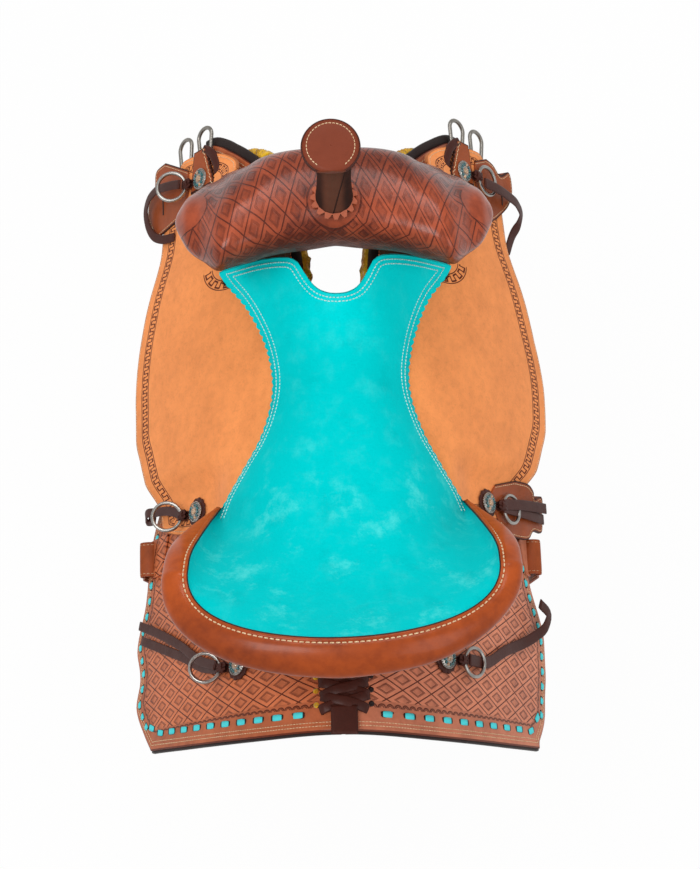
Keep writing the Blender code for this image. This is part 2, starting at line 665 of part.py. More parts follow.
for word, side in LEFT_RIGHT:
    for place, x, y in SPOTS:
        origin, down_way, along, off = local_frame(x, y, surface_top(place) + LAY, side)
        dome = [
            (0.0, 0.0),
            (CONCHO_R * 0.55, 0.0),
            (CONCHO_R * 0.55, POST),
            (CONCHO_R, POST),
            (CONCHO_R, POST + CONCHO_THICK * 0.35),
            (CONCHO_R * 0.8, POST + CONCHO_THICK * 0.75),
            (CONCHO_R * 0.45, POST + CONCHO_THICK),
            (0.0, POST + CONCHO_THICK),
        ]
        points, faces = revolve(dome, 20)
        points = placed(points, origin, down_way, along, off)
        solid(f"concho_{place}_{word}", points, faces, STEEL, 0.25, 1.0)
        bend = RING_WIRE + 0.0011 + STRING_THICK / 2
        reach = CONCHO_R + GAP + 0.0115
        turn = np.linspace(-math.pi / 2, math.pi / 2, 9)
        middle_n = POST + bend
        path = [(CONCHO_R + 0.0010, middle_n - bend)]
        path += [(reach + bend * math.cos(a), middle_n + bend * math.sin(a)) for a in turn]
        path += [(CONCHO_R + 0.0010, middle_n + bend)]
        local = np.array([(a, 0.0, c) for a, c in path])
        points, faces = strap(local, (0, 1, 0), STRING_WIDTH, STRING_THICK)
        points = placed(points, origin, down_way, along, off)
        solid(f"ring_string_{place}_{word}", points, faces, DARK, 0.6)
        hinge = placed([reach, 0, middle_n], origin, down_way, along, off)
        tilt = math.atan2(down_way[2], abs(down_way[0])) if side < 0 else 0.0
        angle = np.arange(20) * 2 * math.pi / 20
        loop = np.stack([RING_R * (1 + np.cos(angle)), RING_R * np.sin(angle), 0 * angle], -1)
        cos_tilt, sin_tilt = math.cos(tilt), math.sin(tilt)
        turned = np.stack([loop[:, 0] * cos_tilt, loop[:, 1], -loop[:, 0] * sin_tilt], -1)
        points, faces = tube(placed(turned, hinge, down_way, along, off), RING_WIRE, 6, True)
        solid(f"string_ring_{place}_{word}", points, faces, STEEL, 0.25, 1.0, hinge)

# Dees at the front, each hinged on its straight bar between skirt and jockey
for word, side in LEFT_RIGHT:
    for kind, x in (("breast", 0.119), ("rigging", 0.141)):
        height = SKIRT_TOP + LAY + DEE_WIRE
        origin, down_way, along, off = local_frame(x, DEE_Y, height, side)
        a = DEE_WIDTH / 2
        corner = [(-a, 0), (-a * 0.5, 0), (0, 0), (a * 0.5, 0), (a, 0)]
        bow = [
            (a * math.cos(t), DEE_DEPTH - a * 0.8 + a * 0.8 * math.sin(t))
            for t in np.linspace(0, math.pi, 11)
        ]
        path = np.array([(p, q, 0) for p, q in corner + bow])
        points, faces = tube(placed(path, origin, down_way, along, off), DEE_WIRE, 6, True)
        solid(f"{kind}_dee_{word}", points, faces, STEEL, 0.35, 1.0, origin)

# Rear rigging plates on the skirts and the flank billets through their slots
PLATE = 0.0024
PLATE_LIP = 0.0048
for word, side in LEFT_RIGHT:
    y = np.array([-0.0250, -0.0300, -0.049, -0.067, -0.086, -0.091])[:, None]
    x = [0.174, 0.177, 0.180, 0.184, 0.1885, 0.1927, 0.1927 + PLATE_LIP / 2]
    x = np.array(x)[None, :]
    low = mirrored(drape(x, y, SKIRT_TOP + LAY), side)
    top = mirrored(drape(x, y, SKIRT_TOP + LAY + PLATE), side)
    cells = np.ones((5, 6), bool)
    cells[1:4, 4] = False
    solid(f"rear_plate_{word}", *sheet(top, low, cells), BROWN, 0.5)
    lip_x = 0.1927 + PLATE_LIP / 4
    origin, down_way, along, off = local_frame(lip_x, -0.058, SKIRT_TOP + LAY + PLATE / 2, side)
    r = 0.0050
    turn = np.linspace(-0.95, math.pi + 0.15, 11)
    out = np.array([side, 0, 0])
    bend = [(r * math.cos(t), r * math.sin(t)) for t in turn]
    tail = [(0.001, -0.36), (0.0025, -0.24), (0.004, -0.12), (0.005, -0.05), (0.007, -0.015)]
    back = [(-0.0048, -0.012), (-0.0012, -0.042)]
    path = np.array([origin + a * out + (0, 0, b) for a, b in tail + bend + back])
    points, faces = strap(path, (0, 1, 0), 0.034, 0.0026)
    solid(f"rear_billet_{word}", points, faces, BROWN, 0.5, 0.0, origin)

# Keepers, shaped leather tabs at the outer corners of the jockeys
KEEPER = 0.0028
KEEPERS = (
    ("keeper_front_left", -1.0, (0.370, 0.285), (0.163, 0.172, 0.180, 0.179, 0.180, 0.168)),
    ("keeper_front_right", 1.0, (0.368, 0.290), (0.176, 0.188, 0.180, 0.171, 0.176, 0.170)),
    ("keeper_rear_right", 1.0, (-0.0155, -0.0640), (0.176, 0.190, 0.194, 0.192, 0.184, 0.170)),
)
for name, side, ends, edge in KEEPERS:
    t = np.linspace(0, 1, 9)[:, None]
    v = np.linspace(0, 1, 6)[None, :]
    y = ends[0] + (ends[1] - ends[0]) * t
    x = 0.153 + (smooth([0, 0.17, 0.40, 0.62, 0.84, 1], edge, t) - 0.153) * v
    n = jockey_low(np.minimum(x, 0.15), y) + JOCKEY + LAY + 0.0002
    top = mirrored(drape(x, y, n + KEEPER), side)
    low = mirrored(drape(x, y, n), side)
    cells = np.ones((8, 5), bool)
    if "front" in name:
        cells[4:6, 3] = False
    solid(name, *sheet(top, low, cells), BROWN, 0.5)

# Leather loops round the bars, stirrup leathers, fenders, bolts and stirrups
for word, side in LEFT_RIGHT:
    low_n = SKIRT_TOP + 0.0006 + 0.0016
    high_n = BAR_TOP - GROOVE + 0.0008 + 0.0016
    mid_n = (high_n + low_n) / 2
    outer_x = drape(0.0925, FENDER_Y, mid_n)[0]
    loop = [(x, high_n) for x in np.linspace(0.031, 0.089, 9)]
    loop += [(0.0925, mid_n), (foot(outer_x, low_n), low_n)]
    loop += [(x, low_n) for x in np.linspace(0.089, 0.033, 9)]
    loop += [(0.0285, mid_n)]
    path = np.array([mirrored(drape(x, FENDER_Y, n), side) for x, n in loop])
    across_way = (0, 1, 2 * ROCK * FENDER_Y)
    solid(f"leather_loop_{word}", *strap(path, across_way, STRAP_WIDTH, 0.0026, True), BROWN, 0.55)

    pivot = mirrored(drape(0.088, FENDER_Y, BAR_LOW + 0.010), side)
    line_x = np.linspace(0.1015, HANG_X, 9)
    mid_n = LEATHER_LOW + LEATHER / 2
    beside = outer_x + 0.0017 + LEATHER / 2
    inner_line = [np.array([side * beside, FENDER_Y, pivot[2] - 0.0085])]
    inner_line += [mirrored(drape(x, FENDER_Y, mid_n), side) for x in line_x]
    end = inner_line[-1]
    steps = np.linspace(0, 1, 8)[1:]
    drop_to = np.array([side * 0.176, FENDER_Y, BOLT_Z])
    bolt = drop_to.copy()
    turn_r = BOLT_R + 0.0008 + LEATHER / 2
    start = bolt + np.array([side * turn_r, 0, 0])
    inner_line += [end + (start - end) * f for f in steps]
    around = np.linspace(0, math.pi, 9)[1:]
    for t in around:
        inner_line.append(bolt + turn_r * np.array([side * math.cos(t), 0, -math.sin(t)]))
    for k in (1, 2, 3):
        inner_line.append(bolt + np.array([-side * (turn_r - 0.0006 * k), 0, 0.022 * k]))
    points, faces = strap(np.array(inner_line), (0, 1, 0), STRAP_WIDTH * 0.93, LEATHER)
    solid(f"stirrup_leather_{word}", points, faces, BROWN, 0.55, 0.0, pivot)

    gap_n = (LEATHER + FENDER) / 2 + LAY
    blade_x = np.linspace(0.104, HANG_X, 7)
    blade = [mirrored(drape(x, FENDER_Y, mid_n + gap_n), side) for x in blade_x]
    away = np.array([side * gap_n, 0, 0])
    fall = end[2] - FENDER_END_Z
    for f in np.linspace(0.12, 1, 12):
        blade.append(end + (start - end) * (f * fall / (end[2] - BOLT_Z)) + away)
    blade = np.array(blade)
    piece = np.linalg.norm(np.diff(blade, axis=0), axis=1)
    long = np.concatenate([[0], np.cumsum(piece)])
    wide = smooth(
        [0, 0.30, 0.42, 0.60, 0.78, 0.93, 1],
        [0.040, 0.041, 0.055, 0.096, 0.098, 0.060, 0.040],
        long / long[-1],
    )
    across = np.linspace(-1, 1, 9)
    ahead = np.gradient(blade, axis=0)
    face = np.cross(ahead, (0, side, 0))
    face /= -np.linalg.norm(face, axis=1)[:, None]
    spread = wide[:, None, None] * across[None, :, None] * np.array([0, 1.0, 0])
    grid = blade[:, None, :] + spread
    out_face = grid + face[:, None, :] * FENDER / 2
    in_face = grid - face[:, None, :] * FENDER / 2
    solid(f"fender_{word}", *sheet(out_face, in_face), (0.42, 0.14, 0.06), 0.45, 0.0, pivot)

    z = [0.012, 0, -0.012, -0.035, -0.065, -0.095]
    z = np.array([*z, 0.012 - STIRRUP_HEIGHT, 0.002 - STIRRUP_HEIGHT])
    reach = smooth([0, 0.3, 0.8, 1], [0, 0.35, 1, 1], (0.012 - z) / (0.010 + STIRRUP_HEIGHT))
    arm_y = STIRRUP_INSIDE + (TREAD_INSIDE - STIRRUP_INSIDE) * reach + STIRRUP_WALL
    arm_y = arm_y / 2
    arm = np.stack([0 * z, arm_y, z], -1)
    tread = np.array([(0, q, -STIRRUP_HEIGHT - 0.004) for q in (0.046, 0.023, 0, -0.023, -0.046)])
    path = np.concatenate([arm, tread, arm[::-1] * np.array([1, -1, 1])])
    depth = smooth([-STIRRUP_HEIGHT - 0.004, -0.08, 0.012], [0.050, 0.036, 0.026], path[:, 2])
    points, faces = strap(path, (1, 0, 0), depth, STIRRUP_WALL)
    points = np.asarray(points) + bolt
    stirrup = solid(f"stirrup_{word}", points, faces, BROWN, 0.5, 0.0, bolt)
    hole_r = BOLT_R + 0.0004
    points, faces = revolve([(0.0, -0.1), (hole_r, -0.1), (hole_r, 0.1), (0.0, 0.1)], 20)
    points = placed(points, bolt, (1, 0, 0), (0, 0, -1), (0, 1, 0))
    cutter = solid(f"bolt_hole_{word}", points, faces, STEEL)
    cutter.hide_render = True
    cutter.display_type = "WIRE"
    cut = stirrup.modifiers.new("bolt_hole", "BOOLEAN")
    cut.operation = "DIFFERENCE"
    cut.solver = "EXACT"
    cut.object = cutter
    half = arm_y[2] + STIRRUP_WALL / 2 + 0.0015
    rod = [(0.0, half + 0.005), (BOLT_R * 1.9, half + 0.005), (BOLT_R * 1.9, half), (BOLT_R, half)]
    rod = [(radius, -height) for radius, height in rod] + rod[::-1]
    points, faces = revolve(rod, 20)
    points = placed(points, bolt, (1, 0, 0), (0, 0, -1), (0, 1, 0))
    solid(f"stirrup_bolt_{word}", points, faces, STEEL, 0.35, 1.0, bolt)
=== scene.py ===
"""Barrel racing saddle seen from above: tooled leather, rough-out jockeys, suede seat, strings and rings."""
import json
import math

import bpy
import numpy as np
from mathutils import Matrix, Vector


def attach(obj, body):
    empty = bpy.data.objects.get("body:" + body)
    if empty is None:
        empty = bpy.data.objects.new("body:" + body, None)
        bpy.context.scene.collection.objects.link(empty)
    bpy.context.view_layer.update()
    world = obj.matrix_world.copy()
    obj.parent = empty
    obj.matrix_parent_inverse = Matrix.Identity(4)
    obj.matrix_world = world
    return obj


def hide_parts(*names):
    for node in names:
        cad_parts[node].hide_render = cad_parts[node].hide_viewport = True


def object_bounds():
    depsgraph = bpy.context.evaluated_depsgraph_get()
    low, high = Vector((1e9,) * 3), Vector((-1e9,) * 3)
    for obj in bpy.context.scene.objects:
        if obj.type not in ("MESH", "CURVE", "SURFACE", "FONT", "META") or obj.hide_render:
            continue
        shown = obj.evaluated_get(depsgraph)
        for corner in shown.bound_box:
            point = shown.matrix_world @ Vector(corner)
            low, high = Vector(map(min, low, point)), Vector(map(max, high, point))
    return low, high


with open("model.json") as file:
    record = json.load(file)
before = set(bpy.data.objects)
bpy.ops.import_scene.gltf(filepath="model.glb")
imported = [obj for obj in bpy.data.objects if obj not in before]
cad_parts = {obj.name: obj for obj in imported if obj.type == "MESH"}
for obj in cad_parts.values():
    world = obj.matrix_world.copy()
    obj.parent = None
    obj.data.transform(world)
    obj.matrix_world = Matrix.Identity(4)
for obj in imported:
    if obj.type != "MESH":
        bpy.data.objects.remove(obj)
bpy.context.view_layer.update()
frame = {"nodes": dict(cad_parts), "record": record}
BODY_OF = {
    node: body for body, nodes in frame["record"]["behaviour"]["bodies"].items() for node in nodes
}
LEFT_RIGHT = (("left", -1.0), ("right", 1.0))


# Camera, at the photograph's angle
def stand(name, data, place_at, right, back):
    """Adds a camera or a lamp that looks against the way back."""
    made = bpy.data.objects.new(name, data)
    ways = np.c_[right, np.cross(back, right), back, place_at]
    made.matrix_world = Matrix(np.vstack([ways, [0, 0, 0, 1]]).tolist())
    bpy.context.scene.collection.objects.link(made)
    return made


def aim(azimuth, elevation, place_at, focal):
    """Sets the camera by its angles round and above the object, in degrees."""
    a, e = math.radians(azimuth), math.radians(elevation)
    back = np.array([math.sin(a) * math.cos(e), -math.cos(a) * math.cos(e), math.sin(e)])
    right = np.cross(-back, [0, 0, 1])
    data = bpy.data.cameras.new("camera")
    data.lens, data.clip_end = focal, 30
    bpy.context.scene.camera = stand("camera", data, place_at, right / np.linalg.norm(right), back)


FOCAL_PIXELS, PHOTO_HEIGHT, SENSOR = 2400, 869, 36
aim(-1.8, 73, (-0.01288, -0.69637, 2.34674), FOCAL_PIXELS * SENSOR / PHOTO_HEIGHT)

# Sizes shared with the solid model
GAP, LAY = 0.0004, 0.0006
ROCK, FALL, FALL_POWER = 0.25, 2.855, 1.6
FLEECE, SKIRT = 0.0128, 0.0056
SKIRT_LOW = FLEECE + LAY
SKIRT_TOP = SKIRT_LOW + SKIRT
BAR_LOW = SKIRT_TOP + LAY
BAR_TOP = BAR_LOW + 0.0185
JOCKEY = 0.0040
JOCKEY_HIGH = BAR_TOP + LAY
JOCKEY_REAR = SKIRT_TOP + 0.0050
JOCKEY_FRONT = SKIRT_TOP + 0.0082
CONCHO_R, CONCHO_THICK, POST = 0.0112, 0.0036, 0.0026
RING_R, RING_WIRE = 0.0152, 0.0015
STRING_THICK = 0.0016
DEE_WIRE, DEE_WIDTH, DEE_DEPTH, DEE_Y = 0.0022, 0.024, 0.034, 0.3525
SEAT_CORNER_Y, SEAT_WIDTH, SUEDE = 0.207, 0.150, 0.0025
CANTLE_Y, CANTLE_DEPTH, CANTLE_SHARE, CANTLE_POWER = -0.150, 0.077, 0.74, 2.1
SEAT_LOW_Z, CANTLE_TOP_Z, CANTLE_SIDE_Z = 0.066, 0.166, 0.122
SWELL_HALF, SWELL_TOP_Z, GULLET_Z, SWELL_POWER = 0.1605, 0.158, 0.084, 2 / 2.7
SWELL_SKIN, FOAM, GROUND, CANTLE_LEATHER = 0.0030, 0.0090, 0.0040, 0.0032
PLATE, TAB, STRAP, STRING = 0.0024, 0.0026, 0.0026, 0.0017
FENDER_Y, HANG_X, BOLT_Z, LEATHER, FENDER = 0.090, 0.176, -0.555, 0.0035, 0.0032
LEATHER_LOW = SKIRT_TOP + 0.0045

# Stitches: pitch, length, width and thickness of the thread, and for some its lift and dip
STITCHES = {
    "skirt": (0.0036, 0.0029, 0.0009, 0.0008),
    "jockey": (0.0032, 0.0025, 0.0008, 0.0008),
    "seat": (0.0037, 0.0027, 0.0013, 0.0010),
    "roll": (0.0056, 0.0042, 0.0016, 0.0013, 0.0003, 0.0006),
    "cap": (0.0034, 0.0027, 0.0010, 0.0009),
    "keeper": (0.0034, 0.0026, 0.0008, 0.0007),
    "tab": (0.0030, 0.0024, 0.0010, 0.0008),
    "fender": (0.0042, 0.0033, 0.0009, 0.0008),
    "billet": (0.0042, 0.0032, 0.0009, 0.0034, 0.0, 0.0),
    "stirrup": (0.0050, 0.0040, 0.0010, 0.0088, 0.0, 0.0),
}


# Curves and surfaces
def hermite(keys, values, slopes, t):
    """Cubic curve through keyed numbers or points with given slopes."""
    i = np.clip(np.searchsorted(keys, t, side="right") - 1, 0, len(keys) - 2)
    h = np.diff(keys)[i]
    f = (t - keys[i]) / h
    if values.ndim > 1:
        h, f = h[:, None], f[:, None]
    start = (2 * f**3 - 3 * f**2 + 1) * values[i] + (f**3 - 2 * f**2 + f) * h * slopes[i]
    return start + (3 * f**2 - 2 * f**3) * values[i + 1] + (f**3 - f**2) * h * slopes[i + 1]


def smooth(keys, values, t):
    """Smooth curve through keyed values, level where they turn."""
    keys, values = np.asarray(keys, float), np.asarray(values, float)
    slope = np.diff(values) / np.diff(keys)
    tangent = np.concatenate([slope[:1], (slope[:-1] + slope[1:]) / 2, slope[-1:]])
    tangent[1:-1][slope[:-1] * slope[1:] <= 0] = 0
    return hermite(keys, values, tangent, np.clip(t, keys[0], keys[-1]))


def ramp(t, start, end):
    """0 at start and 1 at end, smooth between."""
    f = np.clip((np.asarray(t, float) - start) / (end - start), 0, 1)
    return f * f * (3 - 2 * f)


def bowed(c, power):
    """A cosine or sine raised to a power with its sign kept, which squares a round section."""
    return np.sign(c) * np.abs(c) ** power


def turns(count):
    """Angles of even steps round a circle."""
    return np.arange(count) * 2 * math.pi / count


def back_z(x, y):
    """Height of the horse's back, on which everything is laid."""
    return ROCK * y * y - FALL * np.abs(x) ** FALL_POWER


def lean(x):
    """Sideways and upward parts of the way off the back."""
    slope = FALL * FALL_POWER * np.abs(x) ** (FALL_POWER - 1)
    size = np.sqrt(1 + slope * slope)
    return slope / size, 1 / size


def off_way(x, side):
    """The way off the back at base x of one side."""
    out, up = lean(x)
    return np.stack([side * out, 0 * out, up], -1)


def drape(x, y, n, side=1.0):
    """World points at a height n off the back, over base x and y of one side."""
    x, y, n = np.broadcast_arrays(np.asarray(x, float), y, n)
    out, up = lean(x)
    return np.stack([side * (x + n * out), y, back_z(x, y) + n * up], -1)


def foot(world_x, n):
    """The base x of a point at world x and a height n off the back."""
    x = np.asarray(world_x, float)
    for _ in range(40):
        x = 0.5 * x + 0.5 * np.maximum(world_x - n * lean(x)[0], 0)
    return x


def laid(spots, side):
    """World points of spots of (base x, y, height off the back)."""
    return drape(*np.asarray(spots, float).T, side)


def unit(v):
    v = np.asarray(v, float)
    return v / np.maximum(np.linalg.norm(v, axis=-1, keepdims=True), 1e-12)


def local_frame(x, y, n, side):
    """A point off the back, and the ways down the side, along the saddle and off the back there."""
    out, up = lean(x)
    down_way = np.array([side * up, 0, -out])
    along = unit([0, 1.0, 2 * ROCK * y])
    return drape(x, y, n, side), down_way, along, unit(np.cross(down_way, along) * side)


# Unrolled x: length of the back's curve from the middle line
ARC_X = np.linspace(0, 0.30, 3001)
ARC = np.concatenate([[0], np.cumsum(1 / lean((ARC_X[1:] + ARC_X[:-1]) / 2)[1]) * 0.0001])


def unroll(x):
    return np.sign(x) * np.interp(np.abs(x), ARC_X, ARC)


def reroll(x):
    return np.sign(x) * np.interp(np.abs(x), ARC, ARC_X)


def jockey_low(x, y):
    """Height of the jockeys' underside: on the bars in the middle, near the skirts at both ends."""
    ends = JOCKEY_REAR + (JOCKEY_HIGH - JOCKEY_REAR) * ramp(y, -0.015, 0.022)
    ahead = JOCKEY_FRONT + (JOCKEY_HIGH - JOCKEY_FRONT) * ramp(y, 0.30, 0.20)
    ends = np.where(y > 0.1, ahead, ends)
    return ends + (JOCKEY_HIGH - ends) * ramp(x, 0.115, 0.080) * ramp(y, 0.335, 0.305)


def half_width(y):
    """Half the width of the seat."""
    at = [-0.150, -0.130, -0.115, -0.100, -0.085, -0.060, -0.040, -0.015, 0.013, 0.048,
          0.072, 0.104, 0.134, 0.165, 0.190, SEAT_CORNER_Y]
    wide = [0.150, 0.1490, 0.1460, 0.1415, 0.1370, 0.1290, 0.1200, 0.1040, 0.0865, 0.0735,
            0.0705, 0.0745, 0.0835, 0.0975, 0.1135, 0.1222]
    return smooth(at, wide, y)


def seat_ends(u):
    """The y of the seat's front edge and of its rim, at a share u of the half width."""
    a = np.abs(u)
    front = smooth(
        [0, 0.114, 0.239, 0.305, 0.335, 0.352, 0.40, 0.473, 0.638, 0.833, 1.0],
        [0.1439, 0.1457, 0.1535, 0.1645, 0.1730, 0.1785, 0.1845, 0.1885, 0.1950, 0.2022, 0.2095],
        a,
    )
    return front, CANTLE_Y - CANTLE_DEPTH * np.clip(1 - a**CANTLE_POWER, 0, 1) ** (1 / CANTLE_POWER)


def seat_plan(u, v):
    """Plan of the seat; u runs -1 to 1 across it and v 0 to 1 from front to rim."""
    front, rim = seat_ends(u)
    y = front * (1 - v) + rim * v
    return u * half_width(y), y


def seat_z(u, v):
    a = np.abs(u)
    rise = CANTLE_TOP_Z - SEAT_LOW_Z
    middle = SEAT_LOW_Z + rise * smooth([0.30, 0.6, 0.8, 0.92, 1], [0, 0.09, 0.34, 0.68, 1], v)
    middle = middle + 1.5 * np.maximum(seat_plan(u, v)[1] - 0.03, 0) ** 2
    x, y = seat_plan(np.sign(u) + (u == 0), v)
    y = np.maximum(y, -0.07)
    base = foot(np.abs(x), JOCKEY_HIGH + JOCKEY)
    base = foot(np.abs(x), jockey_low(base, y) + JOCKEY)
    resting = drape(base, y, jockey_low(base, y) + JOCKEY)[..., 2] + SUEDE + LAY + 0.0003
    rim = smooth([0.64, 0.69, 0.745, 0.79, 0.86, 0.93, 1], [0, 0.05, 0.27, 0.47, 0.72, 0.90, 1], v)
    side = resting + (CANTLE_SIDE_Z - resting) * rim
    return middle + (side - middle) * a ** (1.9 + 0.6 * v)


def seat_top(x, y):
    """Height of the seat above a point of the plan."""
    u = np.clip(x / half_width(y), -1, 1)
    front, rim = seat_ends(u)
    return seat_z(u, np.clip((front - y) / (front - rim), 0, 1))


def rim_path(s):
    """The seat's rim, from its left front corner at s = -1 round the cantle to the right at 1."""
    a = np.clip(np.abs(s) / CANTLE_SHARE, 0, 1) * math.pi / 2
    ahead = np.clip((np.abs(s) - CANTLE_SHARE) / (1 - CANTLE_SHARE), 0, 1)
    y = CANTLE_Y - CANTLE_DEPTH * np.cos(a) ** (2 / CANTLE_POWER) + ahead * 0.100
    x = np.where(ahead > 0, half_width(y), SEAT_WIDTH * np.sin(a) ** (2 / CANTLE_POWER))
    v = np.where(ahead > 0, (SEAT_CORNER_Y - y) / (SEAT_CORNER_Y - CANTLE_Y), 1.0)
    u = np.where(ahead > 0, 1.0, x / SEAT_WIDTH)
    return np.sign(s) * x, y, seat_z(u, v)


def rim_rows(s, shift, drop):
    """The rim moved outward and down."""
    x, y, z = rim_path(s)
    ax, ay, _ = rim_path(np.clip(s - 0.004, -1, 1))
    bx, by, _ = rim_path(np.clip(s + 0.004, -1, 1))
    size = np.hypot(bx - ax, by - ay)
    nx, ny = (by - ay) / size, -(bx - ax) / size
    flip = np.where(nx * x + ny * (y + 0.10) < 0, -1, 1)
    return np.stack([x + shift * nx * flip, y + shift * ny * flip, z - drop], -1)


def swell(x, angle, grow):
    """Points of the swell's skin at world x and turns of its section."""
    fine = np.linspace(-SWELL_HALF, SWELL_HALF, 643)
    a = np.abs(fine)
    on_bar = BAR_TOP + LAY
    foot_z = drape(foot(np.maximum(a, 0.088), on_bar), 0.28, on_bar)[..., 2]
    arch = GULLET_Z - np.array([0, 0.004, 0.017, 0.048, 0.084])
    under = smooth([0, 0.045, 0.062, 0.082, 0.092], arch, a)
    outside = smooth([0.116, 0.127, 0.147, 0.1605], [-0.1, 0.026, 0.066, 0.090], a)
    under = np.where(a > 0.081, np.maximum(foot_z, outside), under)
    crest = SWELL_TOP_Z - np.array([0, 0.003, 0.0041, 0.0087, 0.0347, 0.0432, 0.0566])
    over = smooth([0, 0.04, 0.08, 0.115, 0.137, 0.152, 0.1605], crest, a)
    at = [0, 0.04, 0.075, 0.10, 0.12, 0.14, 0.152, 0.1605]
    mid_y = smooth(at, [0.2323, 0.2306, 0.2298, 0.2316, 0.2273, 0.2192, 0.2191, 0.2200], a)
    deep = smooth(at, [0.0454, 0.0490, 0.0500, 0.0474, 0.0436, 0.0325, 0.0225, 0.0075], a)
    lean_back = smooth([0.03, 0.11], [0.10, 0.538], a)
    bell = np.exp(-(np.linspace(-2.5, 2.5, 81) ** 2))

    def soft(values, size):
        weights = bell[:: 81 // size]
        half = len(weights) // 2
        padded = np.pad(values, half, "reflect", reflect_type="odd")
        return np.interp(x, fine, np.convolve(padded, weights / weights.sum(), "valid")[: len(fine)])

    over, under, mid_y = soft(over, 27), soft(under, 81), soft(mid_y, 81)
    deep, lean_back = soft(deep, 27), soft(lean_back, 81)
    c, s = np.cos(angle), np.sin(angle)
    rise = ((over - under) / 2 + grow) * bowed(s, SWELL_POWER)
    y = mid_y + (deep + grow) * bowed(c, SWELL_POWER) - lean_back * rise
    wide = x * (1 + (grow - 0.0062 * ramp(np.abs(x), 0.05, 0.16)) / SWELL_HALF)
    return np.stack([wide + 0 * rise, y, (over + under) / 2 + rise], -1)


# Mesh building
def askew(y):
    """How far the saddle's middle line lies to the right of straight, at world y."""
    return smooth([-0.29, -0.22, -0.17, -0.12, -0.03, 0.03, 0.10, 0.17],
                  [-0.0066, -0.0058, -0.0025, -0.0005, 0.0, 0.0018, 0.0018, 0.0], y)


def place(name, verts, faces, finish, stands_for=(), body=None, slot=None, layers=None, sharp=None):
    """Adds one piece; it rides on its node's body, or on the body that is named."""
    mesh = bpy.data.meshes.new(name)
    verts = np.array(verts, float).reshape(-1, 3)
    verts[:, 0] += askew(verts[:, 1])
    mesh.from_pydata(verts.tolist(), [], faces)
    for key, values in (layers or {}).items():
        layer = mesh.attributes.new(key, "FLOAT_VECTOR", "POINT")
        layer.data.foreach_set("vector", np.asarray(values, np.float32).ravel())
    mesh.materials.append(finish.material)
    mesh.shade_smooth()
    if sharp:
        mesh.set_sharp_from_angle(angle=math.radians(sharp))
    piece = bpy.data.objects.new(name, mesh)
    bpy.context.scene.collection.objects.link(piece)
    if isinstance(stands_for, str):
        stands_for = (stands_for,)
    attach(piece, body or (BODY_OF[stands_for[0]] if stands_for else "saddle"))
    if stands_for:
        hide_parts(*stands_for)
    return piece


def merged(parts):
    """Several (verts, faces) as one."""
    verts, faces, start = [], [], 0
    for points, found in parts:
        points = np.asarray(points, float).reshape(-1, 3)
        verts.append(points)
        faces += [tuple(k + start for k in face) for face in found]
        start += len(points)
    return np.concatenate(verts), faces


def skin(rows, closed=False):
    """A skin over sections with equal point counts, capped unless it is closed."""
    rows = np.asarray(rows, float)
    count, sides = rows.shape[:2]
    i = np.arange(count if closed else count - 1)[:, None]
    j = np.arange(sides)[None, :]
    k, m = (i + 1) % count, (j + 1) % sides
    cells = np.stack([i * sides + j, i * sides + m, k * sides + m, k * sides + j], -1)
    faces = [tuple(face) for face in cells.reshape(-1, 4).tolist()]
    if not closed:
        faces.append(tuple(range(sides))[::-1])
        faces.append(tuple(range((count - 1) * sides, count * sides)))
    return rows.reshape(-1, 3), faces


def slab(top, low):
    """A closed sheet between two matching grids."""
    rows, cols = top.shape[:2]
    at = np.arange(rows * cols).reshape(rows, cols)
    cell = np.stack([at[:-1, :-1], at[:-1, 1:], at[1:, 1:], at[1:, :-1]], -1).reshape(-1, 4)
    rim = np.concatenate([at[0], at[1:, -1], at[-1, -2::-1], at[-2::-1, 0]])
    edge = np.stack([rim[:-1], rim[1:]], -1)
    sides = np.c_[edge[:, ::-1], edge + rows * cols]
    faces = np.concatenate([cell, cell[:, ::-1] + rows * cols, sides]).tolist()
    return np.concatenate([top.reshape(-1, 3), low.reshape(-1, 3)]), [tuple(face) for face in faces]


def sweep(path, facing, width, thick, power=1.0, sides=10, closed=False):
    """A section swept along a path; facing gives the side that the flat of the section turns to."""
    path = np.asarray(path, float)
    ahead = np.roll(path, -1, 0) - np.roll(path, 1, 0) if closed else np.gradient(path, axis=0)
    ahead = unit(ahead)
    across = unit(np.cross(np.broadcast_to(np.asarray(facing, float), path.shape), ahead))
    normal = np.cross(ahead, across)
    angle = (np.arange(sides) + 0.5) * 2 * math.pi / sides
    w = bowed(np.cos(angle), power) * np.broadcast_to(width, len(path))[:, None] / 2
    t = bowed(np.sin(angle), power) * np.broadcast_to(thick, len(path))[:, None] / 2
    rows = path[:, None] + w[..., None] * across[:, None] + t[..., None] * normal[:, None]
    return skin(rows, closed)


def lathe(profile, steps, origin, ways, wave=0, count=12):
    """A closed profile of (radius, height) turned round; wave scallops its radius."""
    profile = np.asarray(profile, float)
    angle = turns(steps)
    radius = profile[None, :, 0] * (1 + wave * np.abs(np.sin(count * angle / 2)))[:, None]
    c, s = np.cos(angle)[:, None], np.sin(angle)[:, None]
    local = np.stack([radius * c, radius * s, radius * 0 + profile[:, 1]], -1)
    return skin(np.asarray(origin) + local @ np.asarray(ways, float), True)


def ball(centre, ways, size, steps=8):
    """A ball or a flattened one, of size (radius, half height)."""
    turn = np.linspace(-math.pi / 2, math.pi / 2, 6)
    profile = np.stack([np.maximum(np.cos(turn), 0.02) * size[0], np.sin(turn) * size[1]], -1)
    return lathe(profile, steps, centre, ways)


def run(path):
    """Length along a path up to each of its points."""
    return np.concatenate([[0], np.cumsum(np.linalg.norm(np.diff(path, axis=0), axis=1))])


def between(values, long, at):
    """Values that go with the points of a path, read at lengths along it."""
    return np.stack([np.interp(at, long, column) for column in values.T], -1)


